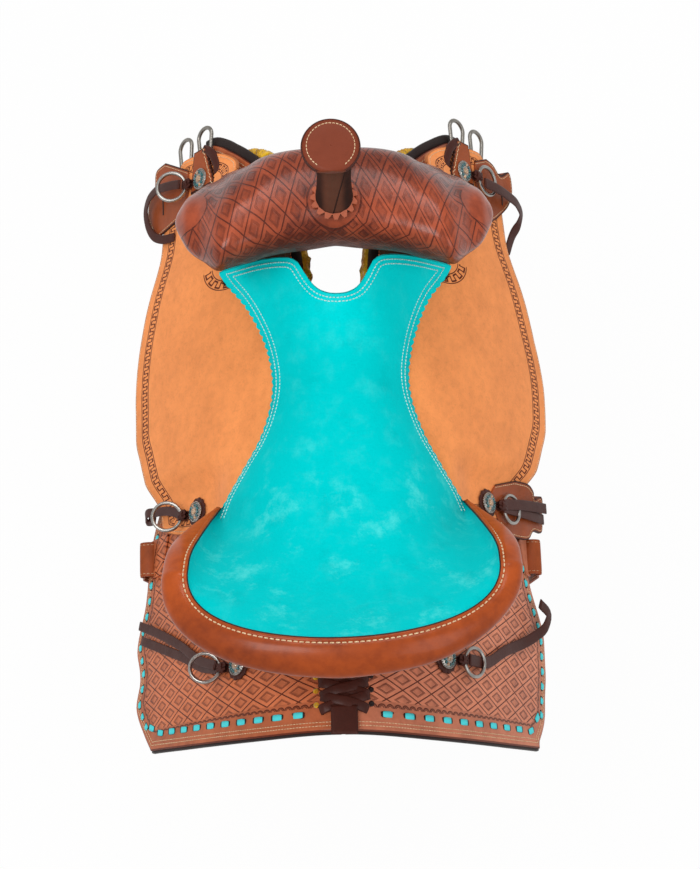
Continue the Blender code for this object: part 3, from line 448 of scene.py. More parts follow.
def resample(path, step):
    """A path with points at even steps."""
    path = np.asarray(path, float)
    long = run(path)
    count = max(int(round(long[-1] / step)) + 1, 2)
    return between(path, long, np.linspace(0, long[-1], count))


def curve_through(points, count):
    """A smooth path through a few points."""
    long = run(points)
    return hermite(long, points, np.gradient(points, long, axis=0), np.linspace(0, long[-1], count))


def beside(line):
    """The way to the left of a line in a plane, at each of its points."""
    ahead = unit(np.gradient(line, axis=0))
    return np.stack([-ahead[:, 1], ahead[:, 0]], -1)


def threads(path, facing, pitch, long, wide, thick, lift=0.0002, dip=0.0003, power=1.0):
    """A row of stitches along a path, each a short rounded strand that dips in at its ends."""
    path = np.asarray(path, float)
    away = run(path)
    spots = np.linspace(0, away[-1], max(int(away[-1] / pitch), 2))
    centre = between(path, away, spots)
    normal = unit(between(np.broadcast_to(facing, path.shape), away, spots))
    ahead = unit(np.gradient(centre, axis=0))
    across = unit(np.cross(normal, ahead))
    at = np.array([-1, -0.9, -0.5, 0.5, 0.9, 1])
    full = np.array([0.5, 0.85, 1, 1, 0.85, 0.5])[:, None]
    sink = (lift - dip * np.abs(at) ** 3)[:, None]
    angle = (np.arange(6) + 0.5) * math.pi / 3
    c, s = bowed(np.cos(angle), power), bowed(np.sin(angle), power)
    rows = (
        centre[:, None, None]
        + (at * long / 2)[None, :, None, None] * ahead[:, None, None]
        + (full * c * wide / 2)[None, :, :, None] * across[:, None, None]
        + (full * s * thick / 2 + sink)[None, :, :, None] * normal[:, None, None]
    )
    return merged([skin(one) for one in rows])


def inset(outline, depth, centre, step=0.001):
    """The line at a depth inside an outline, in one plane."""
    line = resample(outline, step)
    normal = beside(line)
    if (normal * (np.asarray(centre) - line)).sum() < 0:
        normal = -normal
    moved = line + depth * normal
    gap = np.linalg.norm(moved[:, None] - line[None], axis=-1).min(1)
    return resample(moved[gap > 0.97 * depth], step)


def rim_layers(plane, outline):
    """Distance from the outline and place along it, for points of a plane."""
    flat, step, share = plane.reshape(-1, 2), 0.0008, 4000
    line = resample(outline, step)
    near = []
    for start in range(0, len(flat), share):
        away = np.linalg.norm(flat[start : start + share, None] - line[None], axis=-1)
        near.append(np.stack([away.min(1), away.argmin(1) * step], -1))
    return np.concatenate(near)


def finish_layers(plane, near):
    """The stored layers of both faces: place and edge distance, and place along the edge."""
    lay, rim = np.c_[plane.reshape(-1, 2), near[:, 0]], np.c_[near[:, 1], near * 0]
    return {"lay": np.tile(lay, (2, 1)), "rim": np.tile(rim, (2, 1))}


def edged(count, long, r):
    """Even steps from 0 to 1, with extra ones inside each end for a rounded edge of radius r."""
    ends = np.array([0, 0.12, 0.4, 1.0]) * r / long
    return np.concatenate([ends, np.linspace(0, 1, count)[1:-1], 1 - ends[::-1]])


def rounding(u, v, long_u, long_v, r):
    """Drop of a sheet's surface toward its edges, rounded with radius r."""
    d = np.minimum(np.minimum(u, 1 - u) * long_u, np.minimum(v, 1 - v) * long_v)
    d = np.minimum(d, r)
    return r - np.sqrt(np.maximum(r * r - (r - d) ** 2, 0))


def sheet(count_u, count_v, long_u, long_v, r):
    """Shares u and v over a sheet with rounded edges, and its drop there."""
    u, v = edged(count_u, long_u, r)[:, None], edged(count_v, long_v, r)[None, :]
    return u, v, rounding(u, v, long_u, long_v, r)


def panel(name, xy, low, top, side, finish, drop, outline=None, in_plan=False, rear=0.0, **options):
    """A leather panel on the back; rear makes its edge distance grow faster behind."""
    x, y = np.broadcast_arrays(*xy)
    plane = np.stack([unroll(x), y], -1)
    if outline is None:
        outline = np.concatenate([plane[0], plane[:, -1], plane[-1, ::-1], plane[::-1, 0]])
    if in_plan:
        outline = np.stack([reroll(outline[:, 0]), outline[:, 1]], -1)
    near = rim_layers(np.stack([x, y], -1) if in_plan else plane, outline)
    near[:, 0] *= 1 + rear * ramp(plane[..., 1].ravel(), -0.262, -0.245)
    upper = drape(x, y, top - drop, side)
    lower = drape(x, y, low + 0.4 * drop, side)
    return place(name, *slab(upper, lower), finish, layers=finish_layers(plane, near), **options)


def on_skin(plane, height, side):
    """World points and facings of a line in the unrolled plane."""
    x, y = reroll(plane[:, 0]), plane[:, 1]
    n = height(x, y) if callable(height) else height
    return drape(x, y, n, side), off_way(x, side)


# Finishes
class Wire:
    """A socket in a finish; arithmetic on it adds Math nodes."""

    def __init__(self, finish, socket):
        self.finish, self.socket = finish, socket

    def math(self, operation, *others):
        return self.finish.node("ShaderNodeMath", {"operation": operation}, [self, *others])

    def __add__(self, other):
        return self.math("ADD", other)

    def __sub__(self, other):
        return self.math("SUBTRACT", other)

    def __rsub__(self, other):
        return self.finish.node("ShaderNodeMath", {"operation": "SUBTRACT"}, [other, self])

    def __mul__(self, other):
        return self.math("MULTIPLY", other)

    def __truediv__(self, other):
        return self.math("DIVIDE", other)

    def __abs__(self):
        return self.math("ABSOLUTE")

    __radd__ = __add__
    __rmul__ = __mul__

    def fract(self):
        return self.math("FRACT")

    def step(self, start, end):
        """0 at start and 1 at end, smooth between."""
        settings = {"interpolation_type": "SMOOTHSTEP"}
        flipped = start > end
        low, high = min(start, end), max(start, end)
        made = self.finish.node("ShaderNodeMapRange", settings, [self, low, high])
        return 1 - made if flipped else made


class Finish:
    """A material made of nodes round one Principled shader."""

    def __init__(self, name, **sockets):
        self.material = bpy.data.materials.new(name)
        self.material.use_nodes = True
        self.tree = self.material.node_tree
        self.shader = self.tree.nodes["Principled BSDF"]
        self.set(**sockets)

    def join(self, value, socket):
        if isinstance(value, Wire):
            self.tree.links.new(value.socket, socket)
        else:
            socket.default_value = value

    def node(self, kind, settings=None, sockets=(), output=0):
        made = self.tree.nodes.new(kind)
        for key, value in (settings or {}).items():
            setattr(made, key, value)
        for key, value in sockets.items() if isinstance(sockets, dict) else enumerate(sockets):
            self.join(value, made.inputs[key])
        return Wire(self, made.outputs[output])

    def set(self, **sockets):
        for key, value in sockets.items():
            self.join(value, self.shader.inputs[key.replace("_", " ")])

    def place(self, layer="lay"):
        """The three parts of a stored layer, or of the object's own place."""
        if layer == "object":
            vector = self.node("ShaderNodeTexCoord", output="Object")
        else:
            vector = self.node("ShaderNodeAttribute", {"attribute_name": layer}, output="Vector")
        split = self.node("ShaderNodeSeparateXYZ", None, [vector])
        return vector, *(Wire(self, split.socket.node.outputs[k]) for k in range(3))

    def noise(self, at, scale, detail=3, rough=0.5):
        sockets = {"Vector": at, "Scale": scale, "Detail": detail, "Roughness": rough}
        return self.node("ShaderNodeTexNoise", None, sockets)

    def cells(self, at, scale, feature="F1"):
        sockets = {"Vector": at, "Scale": scale}
        return self.node("ShaderNodeTexVoronoi", {"feature": feature}, sockets, "Distance")

    def mix(self, factor, first, second):
        sockets = {0: factor, 6: first, 7: second}
        return self.node("ShaderNodeMix", {"data_type": "RGBA"}, sockets, 2)

    def bump(self, height, strength=1.0):
        """Bump from a height in metres."""
        sockets = {"Strength": strength, "Distance": 1.0, "Height": height}
        self.set(Normal=self.node("ShaderNodeBump", None, sockets))


def rgb(red, green, blue):
    """A colour as the eye reads it, 0 to 255, in the shader's own scale."""
    c = np.array([red, green, blue]) / 255
    c = np.where(c <= 0.04045, c / 12.92, ((c + 0.055) / 1.055) ** 2.4)
    return (*c.tolist(), 1.0)


def lattice(u, v):
    """Line and stamp masks of a tooled diamond lattice, and masks of painted shade for the stamps' sunken
    middles and one side of each; u and v count its two families of lines.
    """
    u, v = u.fract(), v.fract()
    side = abs(u - 0.5).math("MAXIMUM", abs(v - 0.5))
    line = (0.5 - side).step(0.042, 0.012)
    stamp = abs(side - 0.230).step(0.066, 0.026)
    # Painted shade: inner darkens each stamp's sunken middle, corner darkens one side of it.
    inner = side.step(0.20, 0.12)
    corner = ((u + v) * 0.5).step(0.42, 0.60) * side.step(0.215, 0.185)
    return line, stamp, inner, corner


def key_band(e, s):
    """Mask of a stamped serpentine; e runs 0 to 1 across the band, s counts its turns."""
    turn = s.fract()
    bar = abs((s * 2).fract() - 0.5).step(0.17, 0.10) * abs(e - 0.5).step(0.42, 0.38)
    near_top = abs(e - 0.82).step(0.12, 0.07) * abs(turn - 0.5).step(0.29, 0.24)
    near_low = abs(e - 0.18).step(0.12, 0.07) * abs(turn - 0.5).step(0.21, 0.26)
    rails = abs(abs(e - 0.5) - 0.56).step(0.07, 0.03)
    return bar.math("MAXIMUM", near_top).math("MAXIMUM", near_low).math("MAXIMUM", rails)


def leather(name, base, dark, roughness=0.42, coat=0.0, grain=0.00006, tool=None, mottle=0.35):
    """Grained leather; tool(finish) gives extra (height, darkness) from its stored layer, the darkness in
    some finishes partly painted shade.
    """
    made = Finish(name, Coat_Weight=coat)
    at, *_ = made.place("object")
    cloud = made.noise(at, 17, 5, 0.6).step(0.32, 0.70)
    blotch = made.noise(at, 95, 4, 0.6).step(0.35, 0.72)
    pores = made.cells(at, 900)
    height = pores * grain + made.noise(at, 260, 3) * grain * 3
    darkness = cloud * mottle * 0.6 + blotch * mottle * 0.4
    if tool:
        extra, dye_and_shade = tool(made)
        # The tool's darkness holds real tooling colour and, for some finishes, painted shade.
        height = height + extra
        darkness = darkness + dye_and_shade
    darkness = darkness.math("MINIMUM", 1.0).math("MAXIMUM", 0.0)
    made.set(Base_Color=made.mix(darkness, base, dark))
    made.set(Roughness=roughness + (made.noise(at, 60, 3) - 0.5) * 0.22 + darkness * 0.10)
    made.set(Coat_Roughness=0.22, Specular_IOR_Level=0.14)
    made.bump(height)
    return made


def skirt_tool(made):
    """Diamond lattice inside a border of shells."""
    _, x, y, e = made.place("lay")
    _, s, *_ = made.place("rim")
    line, stamp, inner, corner = lattice(x / 0.036 + y / 0.0215, x / 0.036 - y / 0.0215)
    field = e.step(0.031, 0.033)
    pitch = 0.0086
    bow = ((s / pitch).fract() - 0.5) * pitch
    rise = e - 0.0245
    away = (bow * bow + rise * rise).math("SQRT")
    shell = abs(away - 0.0036).step(0.0009, 0.0003) * rise.step(-0.0004, 0.0002)
    ribs = abs(away - 0.0020).step(0.0007, 0.0002) * rise.step(-0.0004, 0.0002)
    edge = e.step(0.0022, 0.0008)
    height = field * (line * -0.0012 + stamp * -0.0009 + inner * -0.0004) + (shell + ribs) * -0.0007
    # Painted shade: inner and corner darken the stamps' sunken middles and one side of each.
    dye_and_shade = field * (line * 0.95 + stamp * 0.55 + inner * 0.10 + corner * 0.18)
    dye_and_shade = dye_and_shade + (shell * 0.7 + ribs * 0.5) + edge * 1.2
    return height, dye_and_shade + (1 - field) * 0.30


def swell_tool(made):
    """Lattice over the swell, kept off the bare ovals at its ends and the ring round the horn, with painted
    shade where it turns under.
    """
    _, x, y, _ = made.place("lay")
    _, px, py, _ = made.place("object")
    low = (y * -1 - 0.036).math("MAXIMUM", 0.0)
    count = (x / 0.0205 + y / 0.0300 - low * 17, x / 0.0205 - y / 0.0700 + low * 36)
    line, stamp, inner, corner = lattice(*count)
    across, ahead = (abs(px) - 0.166) / 0.040, (py - 0.226) / 0.030
    oval = (across * across + ahead * ahead).math("SQRT")
    border = abs(oval - 1).step(0.030, 0.012) * py.step(0.238, 0.232)
    reach = ((px * px) + (py - 0.2135) * (py - 0.2135)).math("SQRT")
    ring = abs(reach - 0.0265).step(0.0012, 0.0004)
    field = oval.step(0.97, 1.0) * reach.step(0.0255, 0.0265)
    height = field * (line * -0.0007 + stamp * -0.0007 + inner * -0.0004) - (border + ring) * 0.0006
    # Painted shade: inner and corner darken the stamps' sunken middles and one side of each.
    dye_and_shade = field * (line * 0.75 + stamp * 0.35 + inner * 0.15 + corner * 0.15) + (border + ring) * 0.5
    # Painted shade where the swell turns under toward the seat; its coat is taken away there too.
    under = y.step(-0.024, -0.060)
    ahead = y.step(0.030, 0.062)
    made.set(Coat_Weight=0.42 - under * 0.42)
    return height, dye_and_shade + under * 0.55 + ahead * 0.35


def neck_tool(made):
    """Lapped seam behind, and painted shade darkening its sides."""
    _, px, py, pz = made.place("object")
    up = (pz - 0.202) / 0.042
    seam = abs(px - 0.0065 - up * 0.0085).step(0.0009, 0.0003) * py.step(0.216, 0.212)
    # Painted shade: the neck darker on both sides as it turns away from the light.
    side = abs(px + 0.001).step(0.006, 0.0135)
    return seam * -0.0008, seam + side * 0.85


def jockey_tool(made):
    """Stamped key border along the edge and round the front conchos, on rough fibres."""
    _, _, y, e = made.place("lay")
    _, s, *_ = made.place("rim")
    band = key_band((e - 0.0088) / 0.0068, s / 0.0074)
    at, px, py, _ = made.place("object")
    dx, dy = abs(px) - 0.1125, py - 0.2160
    reach = (dx * dx + dy * dy).math("SQRT")
    turn = dy.math("ARCTAN2", dx) * 2.4
    arc = key_band((reach - 0.0180) / 0.0085, turn) * py.step(0.2165, 0.2145) * y.step(0.30, 0.29)
    edge = e.step(0.0016, 0.0006)
    mask = band.math("MAXIMUM", arc)
    fibre = (made.noise(at, 420, 4, 0.75) - 0.5) * 0.5 + (made.noise(at, 150, 3) - 0.5) * 0.25
    return mask * -0.0006, mask * 0.95 + edge * 0.5 + fibre.math("MAXIMUM", 0.0)


def roll_painted_shade(made):
    # Painted shade: darker round the rear of the cantle roll.
    _, _, py, _ = made.place("object")
    return 0.0, py.step(-0.170, -0.235) * 0.32


def edge_tool(made):
    e = made.place("lay")[3]
    return e.step(0.0036, 0.0028) * -0.0002, e.step(0.0020, 0.0008)


BROWN, BROWN_DARK = rgb(162, 78, 38), rgb(58, 24, 12)
SKIRT_FINISH = leather("skirt_leather", rgb(222, 124, 78), rgb(102, 40, 18), 0.44, 0.2, tool=skirt_tool)
# Painted sheen: the right side's skirt leather is a paler, pinker copy, for the light that falls on that
# side.
PAINTED_SHEEN_SKIRT_FINISH = leather(
    "skirt_leather_right", rgb(234, 144, 108), rgb(106, 52, 36), 0.44, 0.2, tool=skirt_tool
)
SKIRT_FINISHES = {"left": SKIRT_FINISH, "right": PAINTED_SHEEN_SKIRT_FINISH}
SWELL_FINISH = leather(
    "swell_leather", rgb(172, 78, 46), rgb(88, 30, 14), 0.33, 0.5, tool=swell_tool, mottle=0.75
)
ROLL_FINISH = leather(
    "roll_leather", rgb(182, 80, 24), rgb(96, 30, 4), 0.36, 0.30, 0.00003, tool=roll_painted_shade, mottle=0.5
)
CAP_FINISH = leather("cap_leather", rgb(124, 56, 34), rgb(88, 36, 22), 0.50, 0.04, mottle=0.3)
# Painted light: a lighter leather for the horn tabs, which lie in the cap's shadow.
LIT_TAB_FINISH = leather("tab_leather", rgb(186, 100, 72), rgb(120, 60, 40), 0.5, 0.05)
NECK_FINISH = leather("neck_leather", rgb(104, 58, 42), rgb(52, 30, 24), 0.70, tool=neck_tool, mottle=0.3)
BROWN_FINISH = leather("brown_leather", BROWN, BROWN_DARK, 0.42, 0.1, tool=edge_tool)
STRAP_FINISH = leather("strap_leather", BROWN, BROWN_DARK, 0.45, 0.1)
DARK_FINISH = leather("dark_leather", rgb(74, 36, 28), rgb(34, 15, 12), 0.48, 0.10)
# Black for bindings and edges; also used as painted shade in slits, holes and the groove at the seat's rim.
BLACK_AND_SHADE_FINISH = leather("black_binding_and_shade", rgb(48, 38, 36), rgb(24, 18, 18), 0.5, 0.05)
LINING_FINISH = leather("lining_leather", rgb(150, 108, 78), rgb(96, 62, 42), 0.7)
JOCKEY_FINISH = leather(
    "rough_out", rgb(255, 158, 90), rgb(104, 40, 16), 0.85, 0.0, 0.0001, tool=jockey_tool, mottle=0.22
)
JOCKEY_FINISH.set(Sheen_Weight=0.10, Sheen_Roughness=0.5)


def suede_finish():
    made = Finish("suede", Roughness=0.95, Sheen_Weight=0.06, Sheen_Roughness=0.4, Specular_IOR_Level=0.0)
    at, _, py, _ = made.place("object")
    rubbed = made.noise(at, 24, 7, 0.7).step(0.52, 0.72)
    streak = made.noise(at, 46, 5, 0.7).step(0.45, 0.75)
    nap = made.noise(at, 620, 3, 0.7)
    behind = py.step(0.02, -0.08)
    # Painted light: the suede is lighter towards the seat's front, against the shade of its slope.
    tone_lit_at_front = made.mix(py.step(0.05, 0.17), rgb(0, 198, 200), rgb(0, 222, 224))
    tone = made.mix(rubbed * (0.06 + behind * 0.34) + streak * 0.08, tone_lit_at_front, rgb(112, 236, 230))
    deep = made.noise(at, 30, 4).step(0.46, 0.26) * 0.15 + (nap - 0.5) * 0.45
    made.set(Base_Color=made.mix(deep.math("MAXIMUM", 0.0), tone, rgb(0, 140, 145)))
    made.bump(nap * 0.00025 + made.noise(at, 180, 3) * 0.0003)
    return made


def fleece_finish():
    made = Finish("fleece", Roughness=0.95, Sheen_Weight=0.4, Specular_IOR_Level=0.15)
    at, *_ = made.place("object")
    curl = made.cells(at, 230, "SMOOTH_F1")
    tone = made.mix(made.noise(at, 70, 4).step(0.3, 0.7), rgb(236, 190, 40), rgb(190, 130, 16))
    # Painted shade: darker in the hollows between the curls, where the bump sinks.
    made.set(Base_Color=made.mix(curl.step(0.35, 0.75) * 0.6, tone, rgb(130, 82, 8)))
    made.bump(curl * -0.0022 + made.noise(at, 500, 4) * 0.0008)
    return made


def thread_finish(name, tone, shade):
    made = Finish(name, Roughness=0.7)
    at, *_ = made.place("object")
    made.set(Base_Color=made.mix(made.noise(at, 900, 2).step(0.35, 0.65), tone, shade))
    made.bump(made.noise(at, 2200, 2) * 0.0002)
    return made


def metal_finish(name, tone, roughness):
    made = Finish(name, Metallic=1.0)
    at, *_ = made.place("object")
    wear = made.noise(at, 210, 5, 0.65)
    made.set(Base_Color=made.mix(wear.step(0.5, 0.75) * 0.25, tone, rgb(110, 102, 94)))
    made.set(Roughness=roughness + (wear - 0.5) * 0.25)
    made.bump(made.noise(at, 1300, 3) * 0.00003)
    return made


def gem_finish(name, tone, deep):
    made = Finish(name, Roughness=0.08, Coat_Weight=0.6, Coat_Roughness=0.04, IOR=1.6)
    at, *_ = made.place("object")
    made.set(Base_Color=made.mix(made.noise(at, 700, 3).step(0.35, 0.6), tone, deep))
    made.bump(made.cells(at, 700) * 0.0003)
    return made


def wood_finish():
    made = Finish("rawhide_wood", Roughness=0.6)
    at, x, *_ = made.place("object")
    grain = made.noise(at, 34, 5, 0.7)
    ring = (x * 60 + grain * 3).math("SINE")
    made.set(Base_Color=made.mix(ring.step(-0.2, 0.9) * 0.5, rgb(84, 58, 40), rgb(50, 34, 24)))
    made.bump(grain * 0.0004)
    return made


SUEDE_FINISH = suede_finish()
FLEECE_FINISH = fleece_finish()
CREAM = thread_finish("cream_thread", rgb(236, 206, 168), rgb(196, 158, 116))
WHITE = thread_finish("white_thread", rgb(226, 250, 246), rgb(150, 214, 210))
LACE_FINISH = leather("turquoise_lace", rgb(84, 224, 230), rgb(30, 172, 184), 0.5, 0.05, mottle=0.2)
NICKEL = metal_finish("nickel", rgb(166, 163, 158), 0.30)
SATIN = metal_finish("satin_steel", rgb(150, 145, 138), 0.40)
TURQUOISE = gem_finish("turquoise_stone", rgb(0, 116, 120), rgb(0, 54, 62))
CRYSTAL = gem_finish("crystal_stone", rgb(214, 178, 140), rgb(150, 110, 80))
WOOD_FINISH = wood_finish()

for finish, nodes in (
    (WOOD_FINISH, ("tree_bar_left", "tree_bar_right", "tree_fork", "tree_cantle")),
    (SATIN, ("horn_core", "stirrup_bolt_left", "stirrup_bolt_right")),
):
    for node in nodes:
        for spot in frame["nodes"][node].material_slots:
            spot.material = finish.material


def stitch(name, kind, *lines, finish=CREAM, body=None):
    """One piece with a row of stitches along each line of (path, facing)."""
    rows = [threads(*line, *STITCHES[kind]) for line in lines]
    place(name, *merged(rows), finish, body=body)


# Fleece linings and skirts; their lower edges differ from side to side toward the rear
SKIRT_GAP, SHELL_EDGE = 0.034, 0.45
SKIRT_MORE = {
    -1.0: [0.001, 0.002, 0.0040, -0.0020, 0.0050, 0.0088, 0.0100, 0.0075, 0],
    1.0: [0.007, 0.0055, 0, -0.0035, -0.0055, -0.0065, -0.0050, -0.0020, 0],
}


def skirt_xy(u, v, shrink, half_gap, side):
    """Plan of a skirt or fleece; u runs front to rear and v from the middle line outward."""
    front = smooth([0, 0.2, 0.45, 0.62, 0.8, 1], [0.313, 0.342, 0.3610, 0.3665, 0.3665, 0.348], v)
    rear = smooth([0, 0.4, 0.8, 1], [-0.2915, -0.2870, -0.2770, -0.2700], v)
    front, rear = front - 0.0042 * (side > 0), rear - 0.0090 * v * (side > 0)
    y = (front - shrink) + (rear - front + 2 * shrink) * u
    low = smooth(
        [-0.272, -0.250, -0.225, -0.190, -0.160, -0.100, -0.045, 0.02, 0.12, 0.24, 0.31, 0.38],
        [0.1850, 0.1935, 0.2005, 0.2055, 0.2055, 0.1910, 0.1835, 0.174, 0.172, 0.170, 0.160, 0.142],
        y,
    )
    low = low + smooth([-0.29, -0.25, -0.22, -0.19, -0.15, -0.10, -0.06, -0.02, 0.02], SKIRT_MORE[side], y)
    wider = half_gap + np.array([0, 0, 0.008, 0.023, 0.040])
    inner = smooth(
        [-0.26, -0.232, -0.205, -0.15, -0.08, 0.18, 0.25, 0.30, 0.35],
        [0.001, 0.001, 0.030, 0.030, *wider],
        y,
    )
    return inner + (low - shrink - inner) * v, y


def border(xy):
    """Outline of a panel without its inner edge, in the unrolled plane."""
    x, y = xy
    plane = np.stack([unroll(x), y], -1)
    return np.concatenate([plane[-1], plane[::-1, -1], plane[0, ::-1]])


rng = np.random.default_rng(7)


def curly(shape, size, passes):
    """Soft random bumps on a grid, about 0 with a spread of size."""
    grid = rng.normal(size=shape)
    for _ in range(passes):
        beside_rows = np.roll(grid, 1, 0) + np.roll(grid, -1, 0)
        grid = (grid + beside_rows + np.roll(grid, 1, 1) + np.roll(grid, -1, 1)) / 5
    return grid / grid.std() * size


skirt_lines = {}
for word, side in LEFT_RIGHT:
    u, v, drop = sheet(170, 70, 0.65, 0.24, 0.003)
    x, y = skirt_xy(u, v, 0.0025, 0.0255, side)
    woolly = curly(x.shape, 0.0011, 2)
    reach = np.where((v < 0.004) & (y > -0.1), -np.abs(woolly) * 2.0, 0)
    upper = drape(x + reach, y, FLEECE - drop, side)
    lower = drape(x + reach, y, drop + np.abs(woolly), side)
    place(f"fleece_wool_{word}", *slab(upper, lower), FLEECE_FINISH, f"fleece_{word}", slot="fleece")

    u, v, drop = sheet(150, 64, 0.66, 0.26, 0.0016)
    xy = skirt_xy(u, v, 0.0, SKIRT_GAP, side)
    line = skirt_lines[word] = border(xy)
    # The right skirt's finish carries painted sheen.
    panel(f"skirt_panel_{word}", xy, SKIRT_LOW, SKIRT_TOP, side, SKIRT_FINISHES[word], drop, line,
          rear=SHELL_EDGE, stands_for=f"skirt_{word}", slot="skirt_leather")
    centre = (0.12, 0.0)
    lines = (on_skin(inset(line, depth, centre), SKIRT_TOP, side) for depth in (0.0058, 0.0095))
    stitch(f"skirt_stitches_{word}", "skirt", *lines)
    behind, below = inset(line, 0.0180, centre), inset(line, 0.0105, centre)
    behind = behind[(behind[:, 1] < -0.2450) & (behind[:, 0] > 0.036)]
    below = below[(below[:, 1] > -0.2420) & (below[:, 1] < -0.035) & (below[:, 0] > 0.12)]
    bucks, slots = [], []
    for lace, pitch, long, wide in ((behind, 0.0228, 0.0128, 0.0062), (below, 0.0152, 0.0082, 0.0052)):
        row = (*on_skin(lace, SKIRT_TOP, side), pitch)
        bucks.append(threads(*row, long, wide, 0.0022, 0.0004, 0.0014, 0.16))
        slots.append(threads(*row, long + 0.0030, wide + 0.0006, 0.0010, -0.0002, 0.0, 0.16))
    place(f"buckstitch_{word}", *merged(bucks), LACE_FINISH)
    # The black slits under the lace are painted shade round each stitch.
    place(f"buckstitch_slot_shades_{word}", *merged(slots), BLACK_AND_SHADE_FINISH)


# Seat jockeys
def jockey_xy(u, v, side):
    """Plan of a jockey; u runs front to rear and v from under the seat outward."""
    at = [0, 0.1, 0.25, 0.45, 0.6, 0.85, 1]
    front = smooth(at, [0.316, 0.329, 0.341, 0.3495, 0.354, 0.358, 0.343], v)
    rear = smooth([0, 0.35, 0.6, 0.85, 1], [-0.078, -0.062, -0.0540, -0.0460, -0.036], v)
    y = front + (rear - front) * u
    outer = smooth(
        [-0.065, -0.03, 0.005, 0.044, 0.075, 0.109, 0.142, 0.177, 0.217, 0.26, 0.294, 0.32, 0.356],
        [0.168, 0.1710, 0.1760, 0.184, 0.1895, 0.1895, 0.187, 0.1805, 0.171, 0.1625, 0.1615, 0.158, 0.146],
        y,
    )
    if side > 0:
        less = [0.030, 0.013, 0.0055, 0.0020, 0]
        outer = outer - smooth([-0.065, -0.03, 0.005, 0.044, 0.09], less, y)
    tucked = np.maximum(half_width(np.maximum(y, -0.05)) - 0.020, 0.03)
    under_seat = foot(tucked, JOCKEY_HIGH + JOCKEY)
    around_fork = smooth([0.15, 0.235, 0.285, 0.315, 0.36], [0.086, 0.092, 0.100, 0.074, 0.072], y)
    inner = under_seat + (around_fork - under_seat) * ramp(y, 0.168, 0.200)
    return inner + (outer - inner) * v, y


def jockey_top(x, y):
    return jockey_low(x, y) + JOCKEY


for word, side in LEFT_RIGHT:
    u, v, drop = sheet(130, 60, 0.42, 0.16, 0.0013)
    xy = jockey_xy(u, v, side)
    low, line = jockey_low(*xy), border(xy)
    panel(f"jockey_panel_{word}", xy, low, low + JOCKEY, side, JOCKEY_FINISH, drop, line,
          in_plan=True, stands_for=f"jockey_{word}", slot="rough_out")
    line = inset(line, 0.0036, (0.15, 0.15))
    stitch(f"jockey_stitches_{word}", "jockey", on_skin(line, jockey_top, side))


# Seat
def seat_grid():
    """Plan of the seat's top with scalloped sides."""
    u, v = 2 * edged(60, 0.24, 0.0014) - 1, edged(330, 0.36, 0.0012)
    x, y = seat_plan(u[None, :], v[:, None])
    bite = 0.0024 * (1 - np.abs(np.sin(y * math.pi / 0.0078)))
    scalloped = ramp(v, 0.03, 0.06) * ramp(v, 0.74, 0.70)
    sides = ramp(np.abs(u), 0.90, 1.0)[None, :] * scalloped[:, None]
    return u[None, :], v[:, None], x - np.sign(x) * bite * sides, y


def steepness(u, v):
    """Upright depth for each unit of thickness, larger where the seat rises to the cantle."""
    return 1 + 1.1 * ramp(v, 0.75, 0.95) + 0.9 * ramp(np.abs(u), 0.5, 1.0) * ramp(v, 0.6, 0.85)


u, v, x, y = seat_grid()
z = seat_z(u, v) + 0 * x
drop = rounding((u + 1) / 2, v, 0.24, 0.36, 0.0014)
puff = 0.0012 * ramp(1 - np.abs(u), 0.0, 0.14) * ramp(v, 0, 0.05) * ramp(v, 1, 0.95)
upper = np.stack([x, y, z - drop + puff], -1)
lower = np.stack([x, y, z - SUEDE * steepness(u, v)], -1)
seat = place("seat_cover", *slab(upper, lower), SUEDE_FINISH, "seat_suede", slot="suede")


def seat_line(depth):
    """Line at a depth inside the seat's edge, in plan."""
    back = np.linspace(0, 1, 500) * 0.745
    front = np.stack(seat_plan(np.linspace(-1, 1, 700), np.zeros(700)), -1)
    left, right = (np.stack(seat_plan(np.full(500, u), back), -1) for u in (-1.0, 1.0))
    return inset(np.concatenate([left[::-1], front, right]), depth, (0, 0.02))


lines, step = [], 0.002
for depth in (0.0050, 0.0088):
    plan = seat_line(depth)
    x, y = plan.T
    slope_x = (seat_top(x + step, y) - seat_top(x - step, y)) / (2 * step)
    slope_y = (seat_top(x, y + step) - seat_top(x, y - step)) / (2 * step)
    facing = unit(np.stack([-slope_x, -slope_y, 0 * x + 1], -1))
    lines.append((np.c_[plan, seat_top(x, y) + 0.0008], facing))
stitch("seat_stitches", "seat", *lines, finish=WHITE)

# Under the seat: foam and ground leather
for node, depth, thick, reach in (
    ("seat_foam", SUEDE + GAP, FOAM, 0.95),
    ("ground_seat", SUEDE + FOAM + 2 * GAP, GROUND, 0.84),
):
    u, v = np.linspace(-0.6, 0.6, 50)[None, :], np.linspace(0.04, reach, 80)[:, None]
    x, y = seat_plan(u, v)
    z, steep = seat_z(u, v), steepness(u, v)
    upper, lower = (np.stack([x, y, z - n * steep], -1) for n in (depth, depth + thick))
    piece = place(f"{node}_layer", *slab(upper, lower), LINING_FINISH, node)

# Cantle roll, its stitches and the cantle back
s = np.linspace(-1, 1, 241)
roll_wide = smooth(
    [0, 0.45, CANTLE_SHARE, 0.82, 0.89, 0.95, 1],
    [0.0335, 0.0285, 0.0255, 0.0235, 0.0175, 0.0110, 0.0045],
    np.abs(s),
)
high = smooth([0, CANTLE_SHARE, 0.87, 1], [0.013, 0.013, 0.011, 0.005], np.abs(s))


